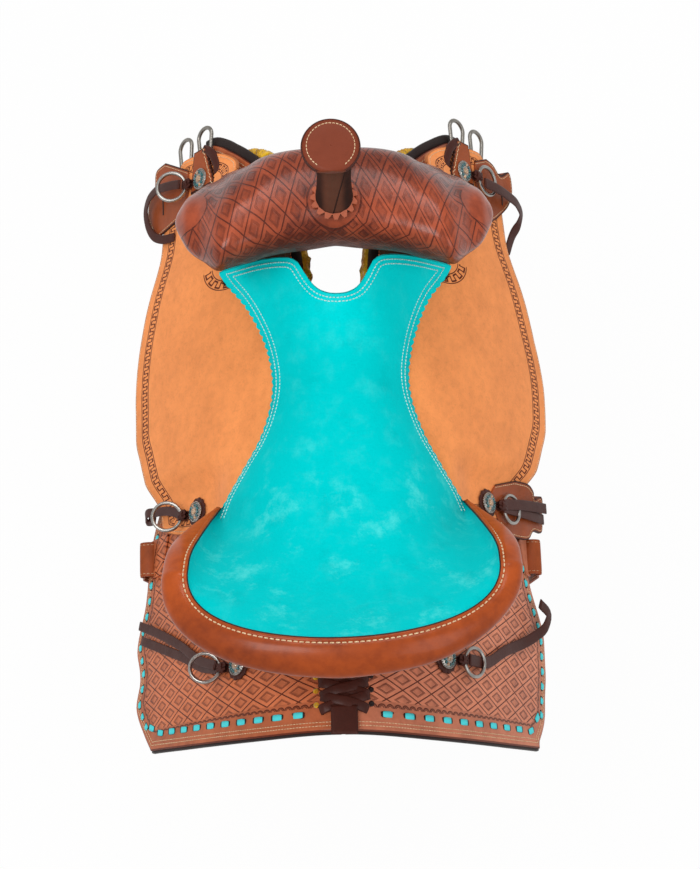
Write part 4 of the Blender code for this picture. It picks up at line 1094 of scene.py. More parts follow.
def roll_line(t, grow=0.0):
    """The line along the roll at one turn of its section."""
    out = 0.5 + 0.5 * bowed(np.cos(t), 0.75)
    wide = roll_wide * (1 - ramp(s, 0.2, 0.6) * 0.2 - ramp(-s, 0.2, 0.6) * 0.07)
    rise = bowed(np.sin(t), 0.75)
    fall = 0.0035 + 0.36 * wide * out**2 - (high / 2 + grow) * rise
    return rim_rows(s, GAP + 0.0006 + wide * out, fall)


roll = np.stack([roll_line(t) for t in turns(36)], 1)
piece = place("cantle_roll_cover", *skin(roll), ROLL_FINISH, "cantle_roll", slot="roll_leather")
path = roll_line(math.radians(138), 0.0003)[4:-4]
ahead = np.gradient(path, axis=0)
facing = unit(np.cross(ahead, np.cross([0, 0, 1.0], ahead)))
stitch("roll_stitches", "roll", (path, facing))
for name, out, down, wide, thick, sides, finish in (
    ("rim_piping", 0.0016, 0.0002, 0.0046, 0.0030, 10, ROLL_FINISH),
    # The black groove is painted shade in the crease between the roll and the seat.
    ("rim_groove", -0.0006, 0.0, 0.0016, 0.0022, 8, BLACK_AND_SHADE_FINISH),
):
    place(name, *sweep(rim_rows(s, out, down), (0, 0, 1), wide, thick, 0.8, sides), finish)


def cantle_wall(depth, t):
    """The cantle's back from under the roll (t = 0) down to the bars (1), at a depth inside."""
    s_back = np.linspace(-0.857, 0.857, 121)
    head = rim_rows(s_back, 0.0104 - depth, 0.014)
    base_line = rim_rows(s_back, -0.0185 - depth, 0)
    n = BAR_TOP - 0.0075 * ramp(base_line[:, 1], -0.09, -0.14) + LAY
    base_line[:, 2] = drape(foot(np.abs(base_line[:, 0]), n), base_line[:, 1], n)[:, 2]
    return head[None] * (1 - t)[:, None, None] + base_line[None] * t[:, None, None]


down = np.linspace(0, 1, 40)
walls = (cantle_wall(depth, down) for depth in (0, CANTLE_LEATHER))
place("cantle_back_leather", *slab(*walls), ROLL_FINISH, "cantle_back", slot="skirt_leather")

# Swell cover
x = np.linspace(-SWELL_HALF, SWELL_HALF, 161)
angle = turns(96) + math.pi / 2
rows = swell(x[:, None], angle[None, :], GAP + SWELL_SKIN)
around = np.linalg.norm(np.diff(np.concatenate([rows, rows[:, :1]], 1), axis=1), axis=-1)
long = np.concatenate([np.zeros((len(x), 1)), np.cumsum(around, 1)[:, :-1]], 1)
total = around.sum(1)[:, None]
rear_way = np.where(long > total / 2, long - total, long)


def end_row(row, share, out):
    """A smaller row past an end row, which rounds the swell's end."""
    middle = row.mean(0)
    return middle + (row - middle) * share + [out, 0, 0]


caps = [[end_row(rows[k], share, way * out) for share, out in ((0.15, 0.0026), (0.6, 0.0016))]
        for k, way in ((0, -1), (-1, 1))]
rows = np.concatenate([caps[0], rows, caps[1][::-1]])
lay_x = np.concatenate([[-0.164, -0.162], x, [0.162, 0.164]])
lay_y = -np.concatenate([rear_way[[0, 0]], rear_way, rear_way[[-1, -1]]])
lay = np.stack([lay_x[:, None] + 0 * lay_y, lay_y, 0 * lay_y + 1], -1)
place("swell_skin", *skin(rows), SWELL_FINISH, "swell_cover", slot="swell_leather",
      layers={"lay": lay.reshape(-1, 3)})
wood = swell(x[:, None] * 0.97, angle[None, ::2], 0.0)
place("tree_fork_wood", *skin(wood), WOOD_FINISH, "tree_fork", slot="rawhide_wood")

# Horn
HORN_Y, HORN_LEAN, HORN_TOP_Z = 0.214, math.radians(13), 0.252
CAP_R, CAP_THICK, NECK_R, NECK_BASE_R = 0.0282, 0.0095, 0.0150, 0.0172
up_way = np.array([0, math.tan(HORN_LEAN), 1.0])
base_z = SWELL_TOP_Z + GAP + SWELL_SKIN + 0.0008
neck_long = HORN_TOP_Z - CAP_THICK - base_z
base = np.array([0, HORN_Y, base_z])
neck_ways = ((1, 0, 0), (0, 1, 0), up_way)
t = np.linspace(0, 1, 40)[:, None]
thick = np.array([NECK_BASE_R, NECK_BASE_R - 0.0006, NECK_R - 0.0004, NECK_R + 0.0003, NECK_R + 0.0016])
angle = turns(80)
past_lap = (angle - (-1.05 + 0.9 * t)) % (2 * math.pi)
r = smooth([0, 0.05, 0.45, 0.8, 1], thick, t) * (1.10 + 0.03 * t) + 0.0013 * np.exp(-past_lap / 1.3)
rows = np.stack([r * np.cos(angle), r * np.sin(angle), 0 * r + t * (neck_long - 0.003)], -1)
rows = base + rows @ np.array(neck_ways)
place("horn_neck_leather", *skin(rows), NECK_FINISH, "horn_neck_wrap", slot="dark_leather")
tabs = []
for a in turns(15) + math.pi:
    out = np.array([math.cos(a), math.sin(a), 0])
    way = np.array([-math.sin(a), math.cos(a), 0])
    foot_at = base + out * (NECK_BASE_R + 0.0008) + [0, 0, 0.0036]
    tip = base + out * (NECK_BASE_R + 0.0060) + [0, 0, 0.0006]
    corner = [tip - way * 0.0026, tip + way * 0.0006, foot_at + way * 0.0042, foot_at - way * 0.0042]
    tabs.append(skin([corner, np.array(corner) + [0, 0, 0.0013]]))
# The tabs' lighter leather is painted light against the cap's shadow.
place("horn_tabs", *merged(tabs), LIT_TAB_FINISH, sharp=30)
cap_tilt = math.radians(3)
cap_up = np.array([0, -math.sin(cap_tilt), math.cos(cap_tilt)])
cap_front = np.array([0, math.cos(cap_tilt), math.sin(cap_tilt)])
cap_ways = np.array([(1, 0, 0), cap_front, cap_up])
cap_base = base + up_way * neck_long + cap_up * 0.0016 + [-0.0022, -0.0020, 0]
profile = [
    (0.0002, 0.0), (CAP_R - 0.008, -0.0006), (CAP_R - 0.0028, 0.0004), (CAP_R - 0.0006, 0.0026),
    (CAP_R, 0.0045), (CAP_R - 0.0004, 0.0062), (CAP_R - 0.0016, CAP_THICK - 0.0018),
    (CAP_R - 0.0030, CAP_THICK - 0.0013), (CAP_R - 0.0034, CAP_THICK - 0.0009),
    (CAP_R - 0.0060, CAP_THICK - 0.0005), (CAP_R * 0.5, CAP_THICK - 0.0001),
    (0.0012, CAP_THICK), (0.0002, CAP_THICK),
]


def folded(turned, reach):
    """The cap's round with its back edge drawn straight where it meets the neck."""
    points, found = turned
    flat = (points - cap_base) @ cap_ways.T
    past = np.minimum(flat[:, 1] + reach, 0)
    return points - (past * 0.92)[:, None] * cap_front, found


cap = folded(lathe(profile, 96, cap_base, cap_ways), 0.0252)
place("horn_cap_leather", *cap, CAP_FINISH, "horn_cap", slot="cap_leather")
rim = [(CAP_R - 0.0012, 0.0016), (CAP_R + 0.0003, 0.0030), (CAP_R + 0.0004, 0.0056),
       (CAP_R - 0.0010, CAP_THICK - 0.0018)]
place("horn_cap_edge", *folded(lathe(rim, 96, cap_base, cap_ways), 0.0244), DARK_FINISH)
a = np.radians(np.linspace(-52, 232, 240))
r = CAP_R - 0.0052
path = cap_base + np.stack([r * np.cos(a), r * np.sin(a), 0 * a + CAP_THICK - 0.0006], -1) @ cap_ways
stitch("cap_stitches", "cap", (path, cap_up))

# Rear lacing, woven over the seam of the skirts
def lace_strand(x, y, n, width):
    """A flat strand over the skirts, which crosses the middle line."""
    path = drape(np.abs(x), y, SKIRT_TOP + n)
    path[:, 0] = np.sign(x) * np.abs(path[:, 0])
    return sweep(path, off_way(x, np.sign(x)), width, 0.0018, 0.55, 10)


parts = []
t = np.linspace(0, 1, 31)
for k in range(3):
    for way in (-1, 1):
        x = way * (0.0165 - 0.033 * t) + 0.0015
        weave = 0.0012 * np.cos((t + 0.5 * (k % 2)) * 2 * math.pi)
        n = 0.0034 + way * weave - 0.0034 * np.abs(2 * t - 1) ** 8
        parts.append(lace_strand(x, -0.2270 - 0.0138 * k - 0.0150 * t, n, 0.0104))
parts.append(lace_strand(0 * t, -0.2240 - 0.044 * t, 0.0006 + 0 * t, 0.0290))
t = np.linspace(0, 1, 12)
parts.append(lace_strand(0.0004 + 0 * t, -0.2660 - 0.0290 * t, 0.0034 - 0.0010 * t, 0.0270))
place("lacing", *merged(parts), DARK_FINISH, "skirt_lacing", slot="dark_leather")
hole = [(0.0001, -0.001), (0.0028, -0.001), (0.0030, 0.0002), (0.0001, 0.0001)]
# The right side's black holes are painted shade; the left's show the fleece.
for way, word, finish in ((-1, "left", FLEECE_FINISH), (1, "right", BLACK_AND_SHADE_FINISH)):
    holes = []
    for k in range(3):
        spot, *ways = local_frame(0.0195 + 0.0010 * way, -0.2350 - 0.0142 * k, SKIRT_TOP, way)
        holes.append(lathe(hole, 16, spot, ways))
    place(f"lace_holes_{word}", *merged(holes), finish)

# Conchos, ring strings and rings
SPOTS = (("front", 0.115, 0.326), ("middle", 0.129, -0.032), ("rear", 0.090, -0.208))
TOPS = {"front": JOCKEY_FRONT + JOCKEY, "middle": JOCKEY_REAR + JOCKEY, "rear": SKIRT_TOP}
CONCHO_HIGH = POST + CONCHO_THICK
CONCHO = [
    (0.0002, 0.0), (CONCHO_R * 0.55, 0.0), (CONCHO_R * 0.55, POST), (CONCHO_R * 0.98, POST),
    (CONCHO_R, POST + 0.0006), (CONCHO_R * 0.96, POST + 0.0013), (CONCHO_R * 0.80, POST + 0.0016),
    (CONCHO_R * 0.74, POST + 0.0024), (CONCHO_R * 0.45, CONCHO_HIGH - 0.0006),
    (0.0002, CONCHO_HIGH - 0.0004),
]
ROSETTE = [(0.0002, 0.0003), (0.0138, 0.0003), (0.0146, 0.0010), (0.0138, 0.0019), (0.0002, 0.0022)]
# The string loop: its bend round the ring, the reach of the bend, and the height of its middle
BEND = RING_WIRE + 0.0011 + STRING_THICK / 2
REACH = CONCHO_R + GAP + 0.0115
MIDDLE = POST + BEND
bent = [(REACH + BEND * math.cos(b), MIDDLE + BEND * math.sin(b))
        for b in np.linspace(-math.pi / 2, math.pi / 2, 15)]
LOOP = np.array([(p, 0.0, q) for p, q in (
    (CONCHO_R - 0.0030, MIDDLE - BEND), (CONCHO_R + 0.0060, MIDDLE - BEND), *bent,
    (CONCHO_R + 0.0060, MIDDLE + BEND), (CONCHO_R + 0.0006, MIDDLE + BEND * 0.7),
)])
BRAID_STEP, BRAID_PITCH = 0.0006, 0.0042


def ball_ring(origin, ways, count, start, reach, high, size, steps):
    """Balls set evenly in a ring round an origin."""
    a = (np.arange(count) + start) * 2 * math.pi / count
    centres = np.stack([reach * np.cos(a), reach * np.sin(a), high + 0 * a], -1) @ np.array(ways)
    return [ball(origin + centre, ways, size, steps) for centre in centres]


def braid(origin, ways):
    """Three waving strands along the string loop, and a strand wound round them."""
    strands = []
    for k in (-1, 0, 1):
        line = resample(LOOP + (0, k * 0.0026, 0), BRAID_STEP)
        line[:, 1] += 0.0007 * np.sin(np.arange(len(line)) * BRAID_STEP / BRAID_PITCH * math.pi + k * 2.1)
        strands.append(sweep(origin + line @ ways, ways[1], 0.0016, 0.0030, 0.7, 8))
    t = np.linspace(0, 3 * 2 * math.pi, 110)
    beyond = CONCHO_R + 0.0048 + 0.0008 * t / math.pi
    wrap = np.stack([beyond, 0.0052 * np.cos(t), MIDDLE + (BEND + 0.0012) * np.sin(t)], -1)
    return merged([*strands, sweep(origin + wrap @ ways, ways[0], 0.0015, 0.0022, 0.7, 8)])


for word, side in LEFT_RIGHT:
    for spot, x, y in SPOTS:
        origin, *ways = local_frame(x, y, TOPS[spot] + LAY, side)
        ways, end = np.array(ways), f"{spot}_{word}"
        beads = ball_ring(origin, ways, 26, 0, CONCHO_R * 0.93, POST + 0.0013, (0.0010, 0.0010), 7)
        stones = ball_ring(origin, ways, 12, 0.5, 0.0070, POST + 0.0026, (0.0020, 0.0014), 8)
        blue = [stone for k, stone in enumerate(stones) if k % 6 != 2]
        centre = ball(origin + (CONCHO_HIGH - 0.0006) * ways[2], ways, (0.0040, 0.0016), 10)
        disc = merged([lathe(CONCHO, 48, origin, ways), *beads])
        place(f"concho_disc_{end}", *disc, NICKEL, f"concho_{end}", slot="nickel")
        place(f"concho_stones_{end}", *merged(blue), TURQUOISE)
        place(f"concho_crystals_{end}", *merged([stones[2], stones[8], centre]), CRYSTAL)
        place(f"rosette_{end}", *lathe(ROSETTE, 96, origin, ways, 0.09, 12), DARK_FINISH)
        place(f"ring_braid_{end}", *braid(origin, ways), DARK_FINISH, f"ring_string_{end}",
              slot="dark_leather")
        hinge = origin + np.array([REACH, 0, MIDDLE]) @ ways
        tilt = math.atan2(ways[0, 2], abs(ways[0, 0])) if side < 0 else 0.0
        c, s = math.cos(tilt), math.sin(tilt)
        a = turns(64)
        reach = RING_R * (1 + np.cos(a))
        turned = np.stack([reach * c, RING_R * np.sin(a), -reach * s], -1)
        wire = 2.6 * RING_WIRE
        ring = sweep(hinge + turned @ ways, np.array([s, 0, c]) @ ways, wire, wire, 1, 12, True)
        place(f"ring_{end}", *ring, NICKEL, f"string_ring_{end}", slot="nickel")

# Dees
half, round_part = DEE_WIDTH / 2, DEE_WIDTH / 2 * 0.8
bow = [(half * math.cos(t), DEE_DEPTH - round_part + round_part * math.sin(t))
       for t in np.linspace(0, math.pi, 25)]
dee_line = [(p, 0.0) for p in np.linspace(-half, half, 9)[1:-1]] + bow
dee_line = np.array([(p, q, 0) for p, q in dee_line + dee_line[:1]])
dee_line = resample(dee_line, 0.0011)[:-1]
for word, side in LEFT_RIGHT:
    for kind, x in (("breast", 0.119), ("rigging", 0.141)):
        origin, *ways = local_frame(x, DEE_Y, SKIRT_TOP + LAY + DEE_WIRE, side)
        dee = sweep(origin + dee_line @ np.array(ways), ways[2], 2 * DEE_WIRE, 2 * DEE_WIRE, 1, 12, True)
        place(f"{kind}_dee_wire_{word}", *dee, SATIN, f"{kind}_dee_{word}", slot="satin_steel")

# Keepers, flared leather tabs over the outer corners of the jockeys
def outline_pair(inner, outer, u, v):
    """Plan between two edges, each drawn smoothly through its points."""
    edges = []
    for points in (np.array(inner), np.array(outer)):
        long = run(points)
        edges.append([smooth(long / long[-1], points[:, k], u) for k in (0, 1)])
    return tuple(edges[0][k] * (1 - v) + edges[1][k] * v for k in (0, 1))


def keeper_low(x, y):
    return jockey_low(np.minimum(x, 0.15), y) + JOCKEY + LAY


def keeper_top(x, y):
    """Skived thin at its inner end, where the ring lies over it."""
    return keeper_low(x, y) + 0.0017 + 0.0013 * ramp(x, 0.160, 0.172)


KEEPERS = (
    ("keeper_front_left", -1.0, [(0.1295, 0.3438), (0.130, 0.320), (0.1426, 0.2962)],
     [(0.1552, 0.3677), (0.1649, 0.3657), (0.1682, 0.3462), (0.1749, 0.3336), (0.1762, 0.3197),
      (0.1712, 0.3012), (0.1670, 0.2904)]),
    ("keeper_front_right", 1.0, [(0.1291, 0.3448), (0.130, 0.315), (0.1445, 0.2851)],
     [(0.1419, 0.3540), (0.1495, 0.3518), (0.1577, 0.3444), (0.1672, 0.3539), (0.1708, 0.3363),
      (0.1686, 0.3230), (0.1641, 0.3114), (0.1512, 0.2925)]),
    ("keeper_rear_right", 1.0, [(0.1375, -0.0085), (0.1335, -0.0215), (0.1425, -0.0514)],
     [(0.1550, 0.0015), (0.1665, 0.0030), (0.1770, -0.0015), (0.1815, -0.0075), (0.1865, -0.0025),
      (0.1915, -0.0100), (0.1915, -0.026), (0.1890, -0.0425), (0.1805, -0.0440), (0.1730, -0.0560),
      (0.1545, -0.0600)]),
)
for name, side, inner, outer in KEEPERS:
    u, v, drop = sheet(61, 33, 0.08, 0.05, 0.0010)
    x, y = outline_pair(inner, outer, u, v)
    plane = np.stack([unroll(x), y], -1)
    line = np.concatenate([plane[0], plane[:, -1], plane[-1, ::-1]])
    panel(f"{name}_leather", (x, y), keeper_low(x, y), keeper_top(x, y), side, BROWN_FINISH, drop, line,
          stands_for=name, slot="brown_leather")
    if "front" in name:
        # The black slit is painted shade in the keeper's slot.
        slit = np.stack([np.full(20, unroll(0.1585)), np.linspace(0.330, 0.312, 20)], -1)
        path, facing = on_skin(slit, keeper_top, side)
        place(f"{name}_slit", *sweep(path, facing, 0.0022, 0.0014, 0.7, 8), BLACK_AND_SHADE_FINISH)
    line = inset(line, 0.0030, plane.reshape(-1, 2).mean(0))
    stitch(f"{name}_stitches", "keeper", on_skin(line, keeper_top, side))

# Scalloped, stitched tabs from the front dees to the conchos, with dark edges behind them
TAB_EDGE = ((0.1120, 0.3570, 0), (0.1060, 0.3510, 0), (0.1015, 0.3420, 0), (0.0995, 0.3320, -0.001),
            (0.1010, 0.3220, -0.002))
for word, side in LEFT_RIGHT:
    u, v, drop = sheet(121, 25, 0.042, 0.016, 0.0008)
    y = 0.3575 - 0.042 * u
    bite = 0.0012 * np.abs(np.sin(y * math.pi / 0.0050))
    x = (0.1080 - 0.0085 * u + bite) * (1 - v) + (0.1215 + 0.0050 * u) * v
    n = JOCKEY_FRONT + JOCKEY + LAY
    panel(f"front_tab_{word}", (x, y), n, n + TAB, side, BROWN_FINISH, drop)
    line = np.stack([unroll(x[:, 0] + 0.0030), y[:, 0]], -1)
    stitch(f"front_tab_stitches_{word}", "tab", on_skin(resample(line, 0.001), n + TAB, side))
    path = curve_through(laid(np.array(TAB_EDGE) + (0, 0, n), side), 40)
    place(f"front_tab_edge_{word}", *sweep(path, (side, 0, 1.0), 0.0100, 0.0050, 0.6, 12), DARK_FINISH)

    # Black edge under the skirt's rear, and binding between skirt and fleece round the front
    rear = resample(np.stack(skirt_xy(np.ones(60), np.linspace(0, 1, 60), 0.0, SKIRT_GAP, side), -1), 0.003)
    below = drape(rear[:, 0], rear[:, 1] - 0.0008, SKIRT_LOW + 0.0010, side)
    place(f"skirt_rear_edge_{word}", *sweep(below, (0, 0, 1.0), 0.0036, 0.0052, 0.6, 10), BLACK_AND_SHADE_FINISH)
    along_inner = skirt_xy(np.linspace(0.30, 0.004, 40), np.zeros(40), 0.0, SKIRT_GAP, side)
    along_front = skirt_xy(np.zeros(30), np.linspace(0.02, 0.66, 30), 0.0, SKIRT_GAP, side)
    line = resample(np.concatenate([np.stack(along_inner, -1), np.stack(along_front, -1)]), 0.003)
    line = line + 0.0034 * beside(line)
    path = drape(line[:, 0], line[:, 1], SKIRT_LOW + 0.0016, side)
    facing = off_way(line[:, 0], side)
    place(f"skirt_binding_{word}", *sweep(path, facing, 0.0110, 0.0070, 0.6, 12), BLACK_AND_SHADE_FINISH)

    # Lip of wool past the binding, swollen in its middle and roughened
    tuft = resample(line[int(len(line) * 0.58) : int(len(line) * 0.84)], 0.0009)
    full = np.sin(np.linspace(0, math.pi, len(tuft))) ** 0.6
    out = 0.0012 + (0.0072 if side < 0 else 0.0050) * full
    tuft = tuft + out[:, None] * beside(tuft)
    path = drape(tuft[:, 0], tuft[:, 1], 0.0085, side)
    points, faces = sweep(path, facing[0], 0.004 + 0.0095 * full, 0.003 + 0.007 * full, 0.9, 18)
    points = points + rng.normal(size=points.shape) * 0.00045
    place(f"fleece_tufts_{word}", points, faces, FLEECE_FINISH)

# Rear rigging plates and flank billets
for word, side in LEFT_RIGHT:
    u, v, drop = sheet(45, 37, 0.066, 0.024, 0.0008)
    inward, back = (0.0045, 0.0) if side < 0 else (0.0115, 0.0130)
    x = (0.170 + 0.0080 * u) * (1 - v) + (0.1945 - inward) * v
    y = -0.0370 - 0.042 * u - back
    n = SKIRT_TOP + LAY
    # The right plate's finish carries painted sheen, as its skirt does.
    panel(f"rigging_plate_{word}", (x, y), n, n + PLATE, side, SKIRT_FINISHES[word], drop,
          skirt_lines[word], rear=SHELL_EDGE, stands_for=f"rear_plate_{word}", slot="brown_leather")

    # The billet's fold over the plate, its short end behind and its tail, tucked in under the skirt
    origin, *_ = local_frame(0.1939 - inward, -0.058 - back, n + PLATE / 2, side)
    tuck = 0.0105 if side < 0 else 0.0
    tail = [(-0.036 - tuck, -0.36), (-0.026 - tuck, -0.24), (-0.013 - tuck, -0.12),
            (0.0015 - tuck / 2, -0.05), (0.0108, -0.015)]
    turn = np.linspace(-0.95, math.pi + 0.15, 25)
    fold = [(0.0090 * math.cos(t) + 0.0035, 0.0050 * math.sin(t)) for t in turn]
    short = [(-0.0048, -0.012), (-0.0012, -0.042)]
    path = np.array([origin + (side * a, 0, b) for a, b in tail + fold + short])
    facing = np.cross(np.gradient(path, axis=0), (0, 1.0, 0))
    billet = sweep(path, facing, 0.0385, STRAP, 0.4, 16)
    place(f"flank_billet_{word}", *billet, STRAP_FINISH, f"rear_billet_{word}", slot="brown_leather")
    stitched = len(tail + fold)
    normal = unit(facing[:stitched]) * (1 if side > 0 else -1)
    lines = ((path[:stitched] + (0, way, 0), normal) for way in (-0.0160, 0.0160))
    stitch(f"billet_stitches_{word}", "billet", *lines, body=f"rear_billet_{word}_body")

# Loops round the bars, stirrup leathers, fenders and stirrups
for word, side in LEFT_RIGHT:
    low_n = SKIRT_TOP + 0.0006 + 0.0016
    high_n = BAR_TOP - 0.0052 + 0.0008 + 0.0016
    mid_n = (high_n + low_n) / 2
    outer_x = drape(0.0925, FENDER_Y, mid_n)[0]
    loop = [(x, high_n) for x in np.linspace(0.031, 0.089, 24)]
    loop += [(0.0925, mid_n), (foot(outer_x, low_n), low_n)]
    loop += [(x, low_n) for x in np.linspace(0.089, 0.033, 24)] + [(0.0285, mid_n)]
    path = laid([(x, FENDER_Y, n) for x, n in loop], side)
    facing = np.cross(np.roll(path, -1, 0) - np.roll(path, 1, 0), (0, 1.0, 0))
    place(f"bar_loop_{word}", *sweep(path, facing, 0.066, STRAP, 0.35, 16, True), STRAP_FINISH,
          f"leather_loop_{word}", slot="brown_leather")

    # The leather lies on the skirt, falls to the bolt, turns round it and ends on its inner side
    pivot = drape(0.088, FENDER_Y, BAR_LOW + 0.010, side)
    mid_n = LEATHER_LOW + LEATHER / 2
    line = [np.array([side * (outer_x + 0.0012 + LEATHER / 2), FENDER_Y, pivot[2] - 0.0085])]
    line += [*laid([(x, FENDER_Y, mid_n) for x in np.linspace(0.1015, HANG_X, 24)], side)]
    end = line[-1]
    bolt = np.array([side * HANG_X, FENDER_Y, BOLT_Z])
    turn_r = 0.0040 + 0.0008 + LEATHER / 2
    start = bolt + (side * turn_r, 0, 0)
    line += [end + (start - end) * f for f in np.linspace(0, 1, 24)[1:]]
    turn = np.linspace(0, math.pi, 15)[1:]
    line += [bolt + turn_r * np.array([side * math.cos(t), 0, -math.sin(t)]) for t in turn]
    line += [bolt + (-side * (turn_r - 0.0006 * k), 0, 0.022 * k) for k in (1, 2, 3)]
    path = np.array(line)
    facing = np.cross(np.gradient(path, axis=0), (0, 1.0, 0))
    place(f"stirrup_strap_{word}", *sweep(path, facing, 0.0614, LEATHER, 0.35, 16), STRAP_FINISH,
          f"stirrup_leather_{word}", slot="brown_leather")

    gap_n = (LEATHER + FENDER) / 2 + LAY
    blade = [*laid([(x, FENDER_Y, mid_n + gap_n) for x in np.linspace(0.104, HANG_X, 16)], side)]
    away = np.array([side * gap_n, 0, 0])
    fall = (start - end) * (end[2] + 0.485) / (end[2] - BOLT_Z)
    blade += [end + fall * f + away for f in np.linspace(0.04, 1, 50)]
    blade = resample(blade, 0.004)
    u = np.linspace(0, 1, len(blade))
    wide = smooth([0, 0.30, 0.42, 0.60, 0.78, 0.93, 1], [0.040, 0.041, 0.055, 0.096, 0.098, 0.060, 0.040], u)
    face = unit(np.cross(np.gradient(blade, axis=0), (0, -side, 0)))
    v = edged(41, 0.16, 0.0010)[None, :]
    drop = rounding(u[:, None], v, 0.55, 0.16, 0.0010)
    across = wide[:, None] * (2 * v - 1)
    grid = blade[:, None, :] + across[..., None] * np.array([0, 1.0, 0])
    upper = grid + face[:, None, :] * (FENDER / 2 - drop)[..., None]
    lower = grid - face[:, None, :] * (FENDER / 2 - 0.4 * drop)[..., None]
    plane = np.stack([0.15 + across, run(blade)[:, None] + 0 * v], -1)
    near = rim_layers(plane, np.concatenate([plane[:, -1], plane[-1, ::-1], plane[::-1, 0]]))
    place(f"fender_leather_{word}", *slab(upper, lower), SKIRT_FINISH, f"fender_{word}",
          slot="skirt_leather", layers=finish_layers(plane, near))
    edges = (blade + (wide * share)[:, None] * np.array([0, 1.0, 0]) + face * FENDER / 2
             for share in (-0.94, 0.94, -0.965, 0.965))
    lines = ((edge[10:-2], face[10:-2]) for edge in edges)
    stitch(f"fender_stitches_{word}", "fender", *lines, body=f"fender_{word}_body")

    # The stirrup's frame: an arm, a rounded corner, the tread, and the same back up
    z = np.linspace(0.012, -0.111, 22)
    arm_y = (0.0865 + 0.044 * smooth([0, 0.3, 0.8, 1], [0, 0.35, 1, 1], (0.012 - z) / 0.135)) / 2
    arm = np.stack([0 * z, arm_y, z], -1)
    turn = np.linspace(0, math.pi / 2, 9)[1:]
    corner = np.stack([0 * turn, arm_y[-1] - 0.018 * (1 - np.cos(turn)), z[-1] - 0.018 * np.sin(turn)], -1)
    tread = np.array([(0, q, -0.129) for q in np.linspace(0.040, -0.040, 21)])
    one_side = np.concatenate([arm, corner])
    path = np.concatenate([one_side, tread, one_side[::-1] * (1, -1, 1)])
    depth = smooth([-0.129, -0.08, 0.012], [0.050, 0.036, 0.026], path[:, 2])
    facing = np.cross(np.gradient(path, axis=0), (1.0, 0, 0))
    stirrup = sweep(path + bolt, facing, depth, 0.0085, 0.42, 20)
    place(f"stirrup_frame_{word}", *stirrup, STRAP_FINISH, f"stirrup_{word}", slot="brown_leather")
    inset_x = np.stack([depth / 2 - 0.0035, 0 * depth, 0 * depth], -1)
    lines = ((path + bolt + way * inset_x, unit(facing)) for way in (-1, 1))
    stitch(f"stirrup_stitches_{word}", "stirrup", *lines, body=f"stirrup_{word}_body")


# Loose strings and straps
def strap_piece(name, spots, side, width, count=60):
    """A flat string through spots of (base x, y, height off the back)."""
    x = np.interp(np.linspace(0, 1, count), np.linspace(0, 1, len(spots)), [spot[0] for spot in spots])
    path = curve_through(laid(spots, side), count)
    place(name, *sweep(path, off_way(x, side), width, STRING, 0.45, 12), DARK_FINISH)


STRINGS = (
    ("rear_right", 1.0, 0.0120, [
        (0.106, -0.207, 0.030), (0.128, -0.204, 0.025), (0.152, -0.184, 0.022), (0.170, -0.171, 0.023),
        (0.181, -0.160, 0.027), (0.1890, -0.1465, 0.032), (0.1895, -0.1360, 0.035),
        (0.1800, -0.1250, 0.034)]),
    ("rear_left_high", -1.0, 0.0098, [
        (0.106, -0.205, 0.030), (0.128, -0.192, 0.026), (0.148, -0.172, 0.024), (0.170, -0.152, 0.024),
        (0.1995, -0.128, 0.026)]),
    ("rear_left_low", -1.0, 0.0098, [
        (0.106, -0.209, 0.027), (0.128, -0.199, 0.022), (0.148, -0.183, 0.021), (0.170, -0.167, 0.021),
        (0.1995, -0.1445, 0.023)]),
    ("front_right", 1.0, 0.0115, [
        (0.128, 0.317, 0.046), (0.141, 0.318, 0.046), (0.156, 0.318, 0.0445), (0.169, 0.3165, 0.042),
        (0.1765, 0.3105, 0.038), (0.1775, 0.301, 0.033), (0.1740, 0.290, 0.030), (0.1675, 0.266, 0.028)]),
    ("front_left", -1.0, 0.0100, [
        (0.128, 0.325, 0.046), (0.142, 0.331, 0.046), (0.158, 0.335, 0.0450), (0.1665, 0.331, 0.0440),
        (0.1715, 0.322, 0.0420), (0.1715, 0.308, 0.0400), (0.1665, 0.293, 0.0385),
        (0.1575, 0.2835, 0.0370), (0.146, 0.2800, 0.0340)]),
    ("middle_left", -1.0, 0.0100, [
        (0.140, -0.031, 0.034), (0.158, -0.019, 0.034), (0.172, -0.014, 0.034), (0.1850, -0.012, 0.0335),
        (0.1870, -0.015, 0.030), (0.178, -0.020, 0.029)]),
    ("middle_right_high", 1.0, 0.0115, [
        (0.140, -0.031, 0.038), (0.154, -0.026, 0.038), (0.174, -0.020, 0.038), (0.1890, -0.016, 0.038)]),
    ("middle_right_low", 1.0, 0.0115, [
        (0.140, -0.034, 0.037), (0.156, -0.032, 0.036), (0.174, -0.030, 0.036), (0.1885, -0.028, 0.035)]),
)
for name, side, width, spots in STRINGS:
    strap_piece(f"string_{name}", spots, side, width)

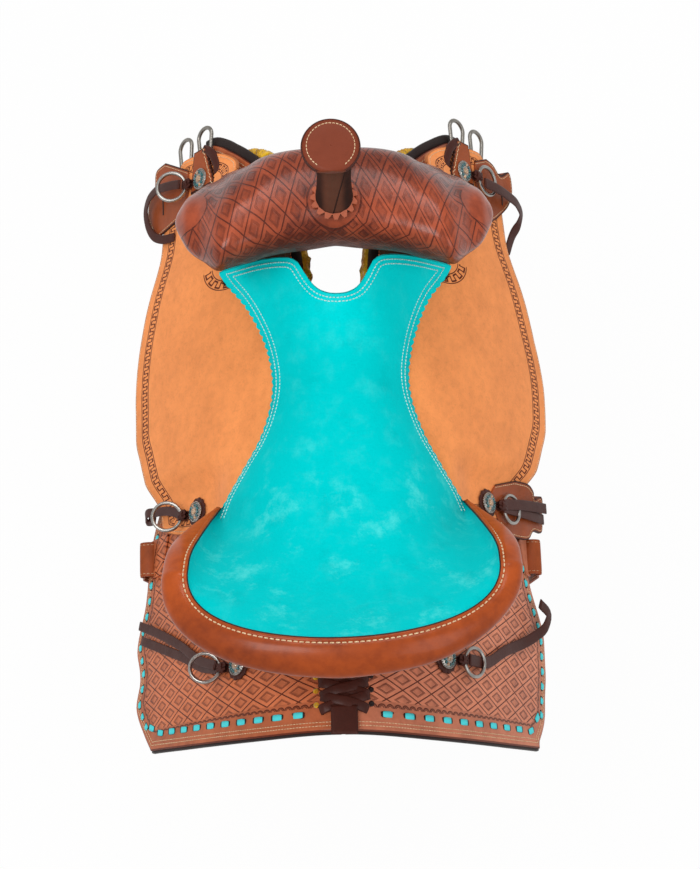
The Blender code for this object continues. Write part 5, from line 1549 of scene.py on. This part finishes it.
# Floor, light and sky
floor = bpy.data.meshes.new("floor")
floor.from_pydata([(-9, -9, 0), (9, -9, 0), (9, 9, 0), (-9, 9, 0)], [], [(0, 1, 2, 3)])
floor_piece = bpy.data.objects.new("floor", floor)
floor_piece.location.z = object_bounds()[0][2] - 0.002
bpy.context.scene.collection.objects.link(floor_piece)
paper = Finish("paper", Roughness=0.9, Base_Color=(0.9, 0.9, 0.9, 1))
rays = paper.node("ShaderNodeLightPath").socket.node.outputs
seen, glossy, clear = (Wire(paper, rays[f"Is {kind} Ray"]) for kind in ("Camera", "Glossy", "Transmission"))
white = paper.node("ShaderNodeEmission", None, {"Color": (1, 1, 1, 1), "Strength": 1.0})
factor = (seen * 0.95).math("MAXIMUM", glossy.math("MAXIMUM", clear) * 0.6)
both = paper.node("ShaderNodeMixShader", None, [factor, Wire(paper, paper.shader.outputs[0]), white])
paper.join(both, paper.tree.nodes["Material Output"].inputs["Surface"])
floor.materials.append(paper.material)

world = bpy.data.worlds.new("sky")
world.use_nodes = True
bpy.context.scene.world = world
tree = world.node_tree
light_path = tree.nodes.new("ShaderNodeLightPath")
strength = tree.nodes.new("ShaderNodeMapRange")
strength.inputs["To Min"].default_value = 0.55
strength.inputs["To Max"].default_value = 1.0
tree.links.new(light_path.outputs["Is Camera Ray"], strength.inputs["Value"])
tree.nodes["Background"].inputs["Color"].default_value = (1, 1, 1, 1)
tree.links.new(strength.outputs[0], tree.nodes["Background"].inputs["Strength"])


def lamp(name, place_at, target, size, power):
    """A rectangular lamp that looks at a target."""
    data = bpy.data.lights.new(name, "AREA")
    data.shape = "RECTANGLE"
    data.size, data.size_y = size
    data.energy = power
    back = unit(np.array(place_at) - np.array(target))
    stand(name, data, place_at, unit(np.cross([0.01, 1, 0.02], back)), back)


lamp("key", (-1.1, -0.4, 2.6), (0, 0, 0), (1.5, 1.1), 34)
lamp("fill", (1.6, -0.9, 1.7), (0, 0, 0), (1.4, 1.4), 12)
lamp("top", (0.2, 1.5, 2.2), (0, 0.1, 0), (1.8, 0.7), 17)

scene = bpy.context.scene
scene.view_settings.view_transform = "Standard"
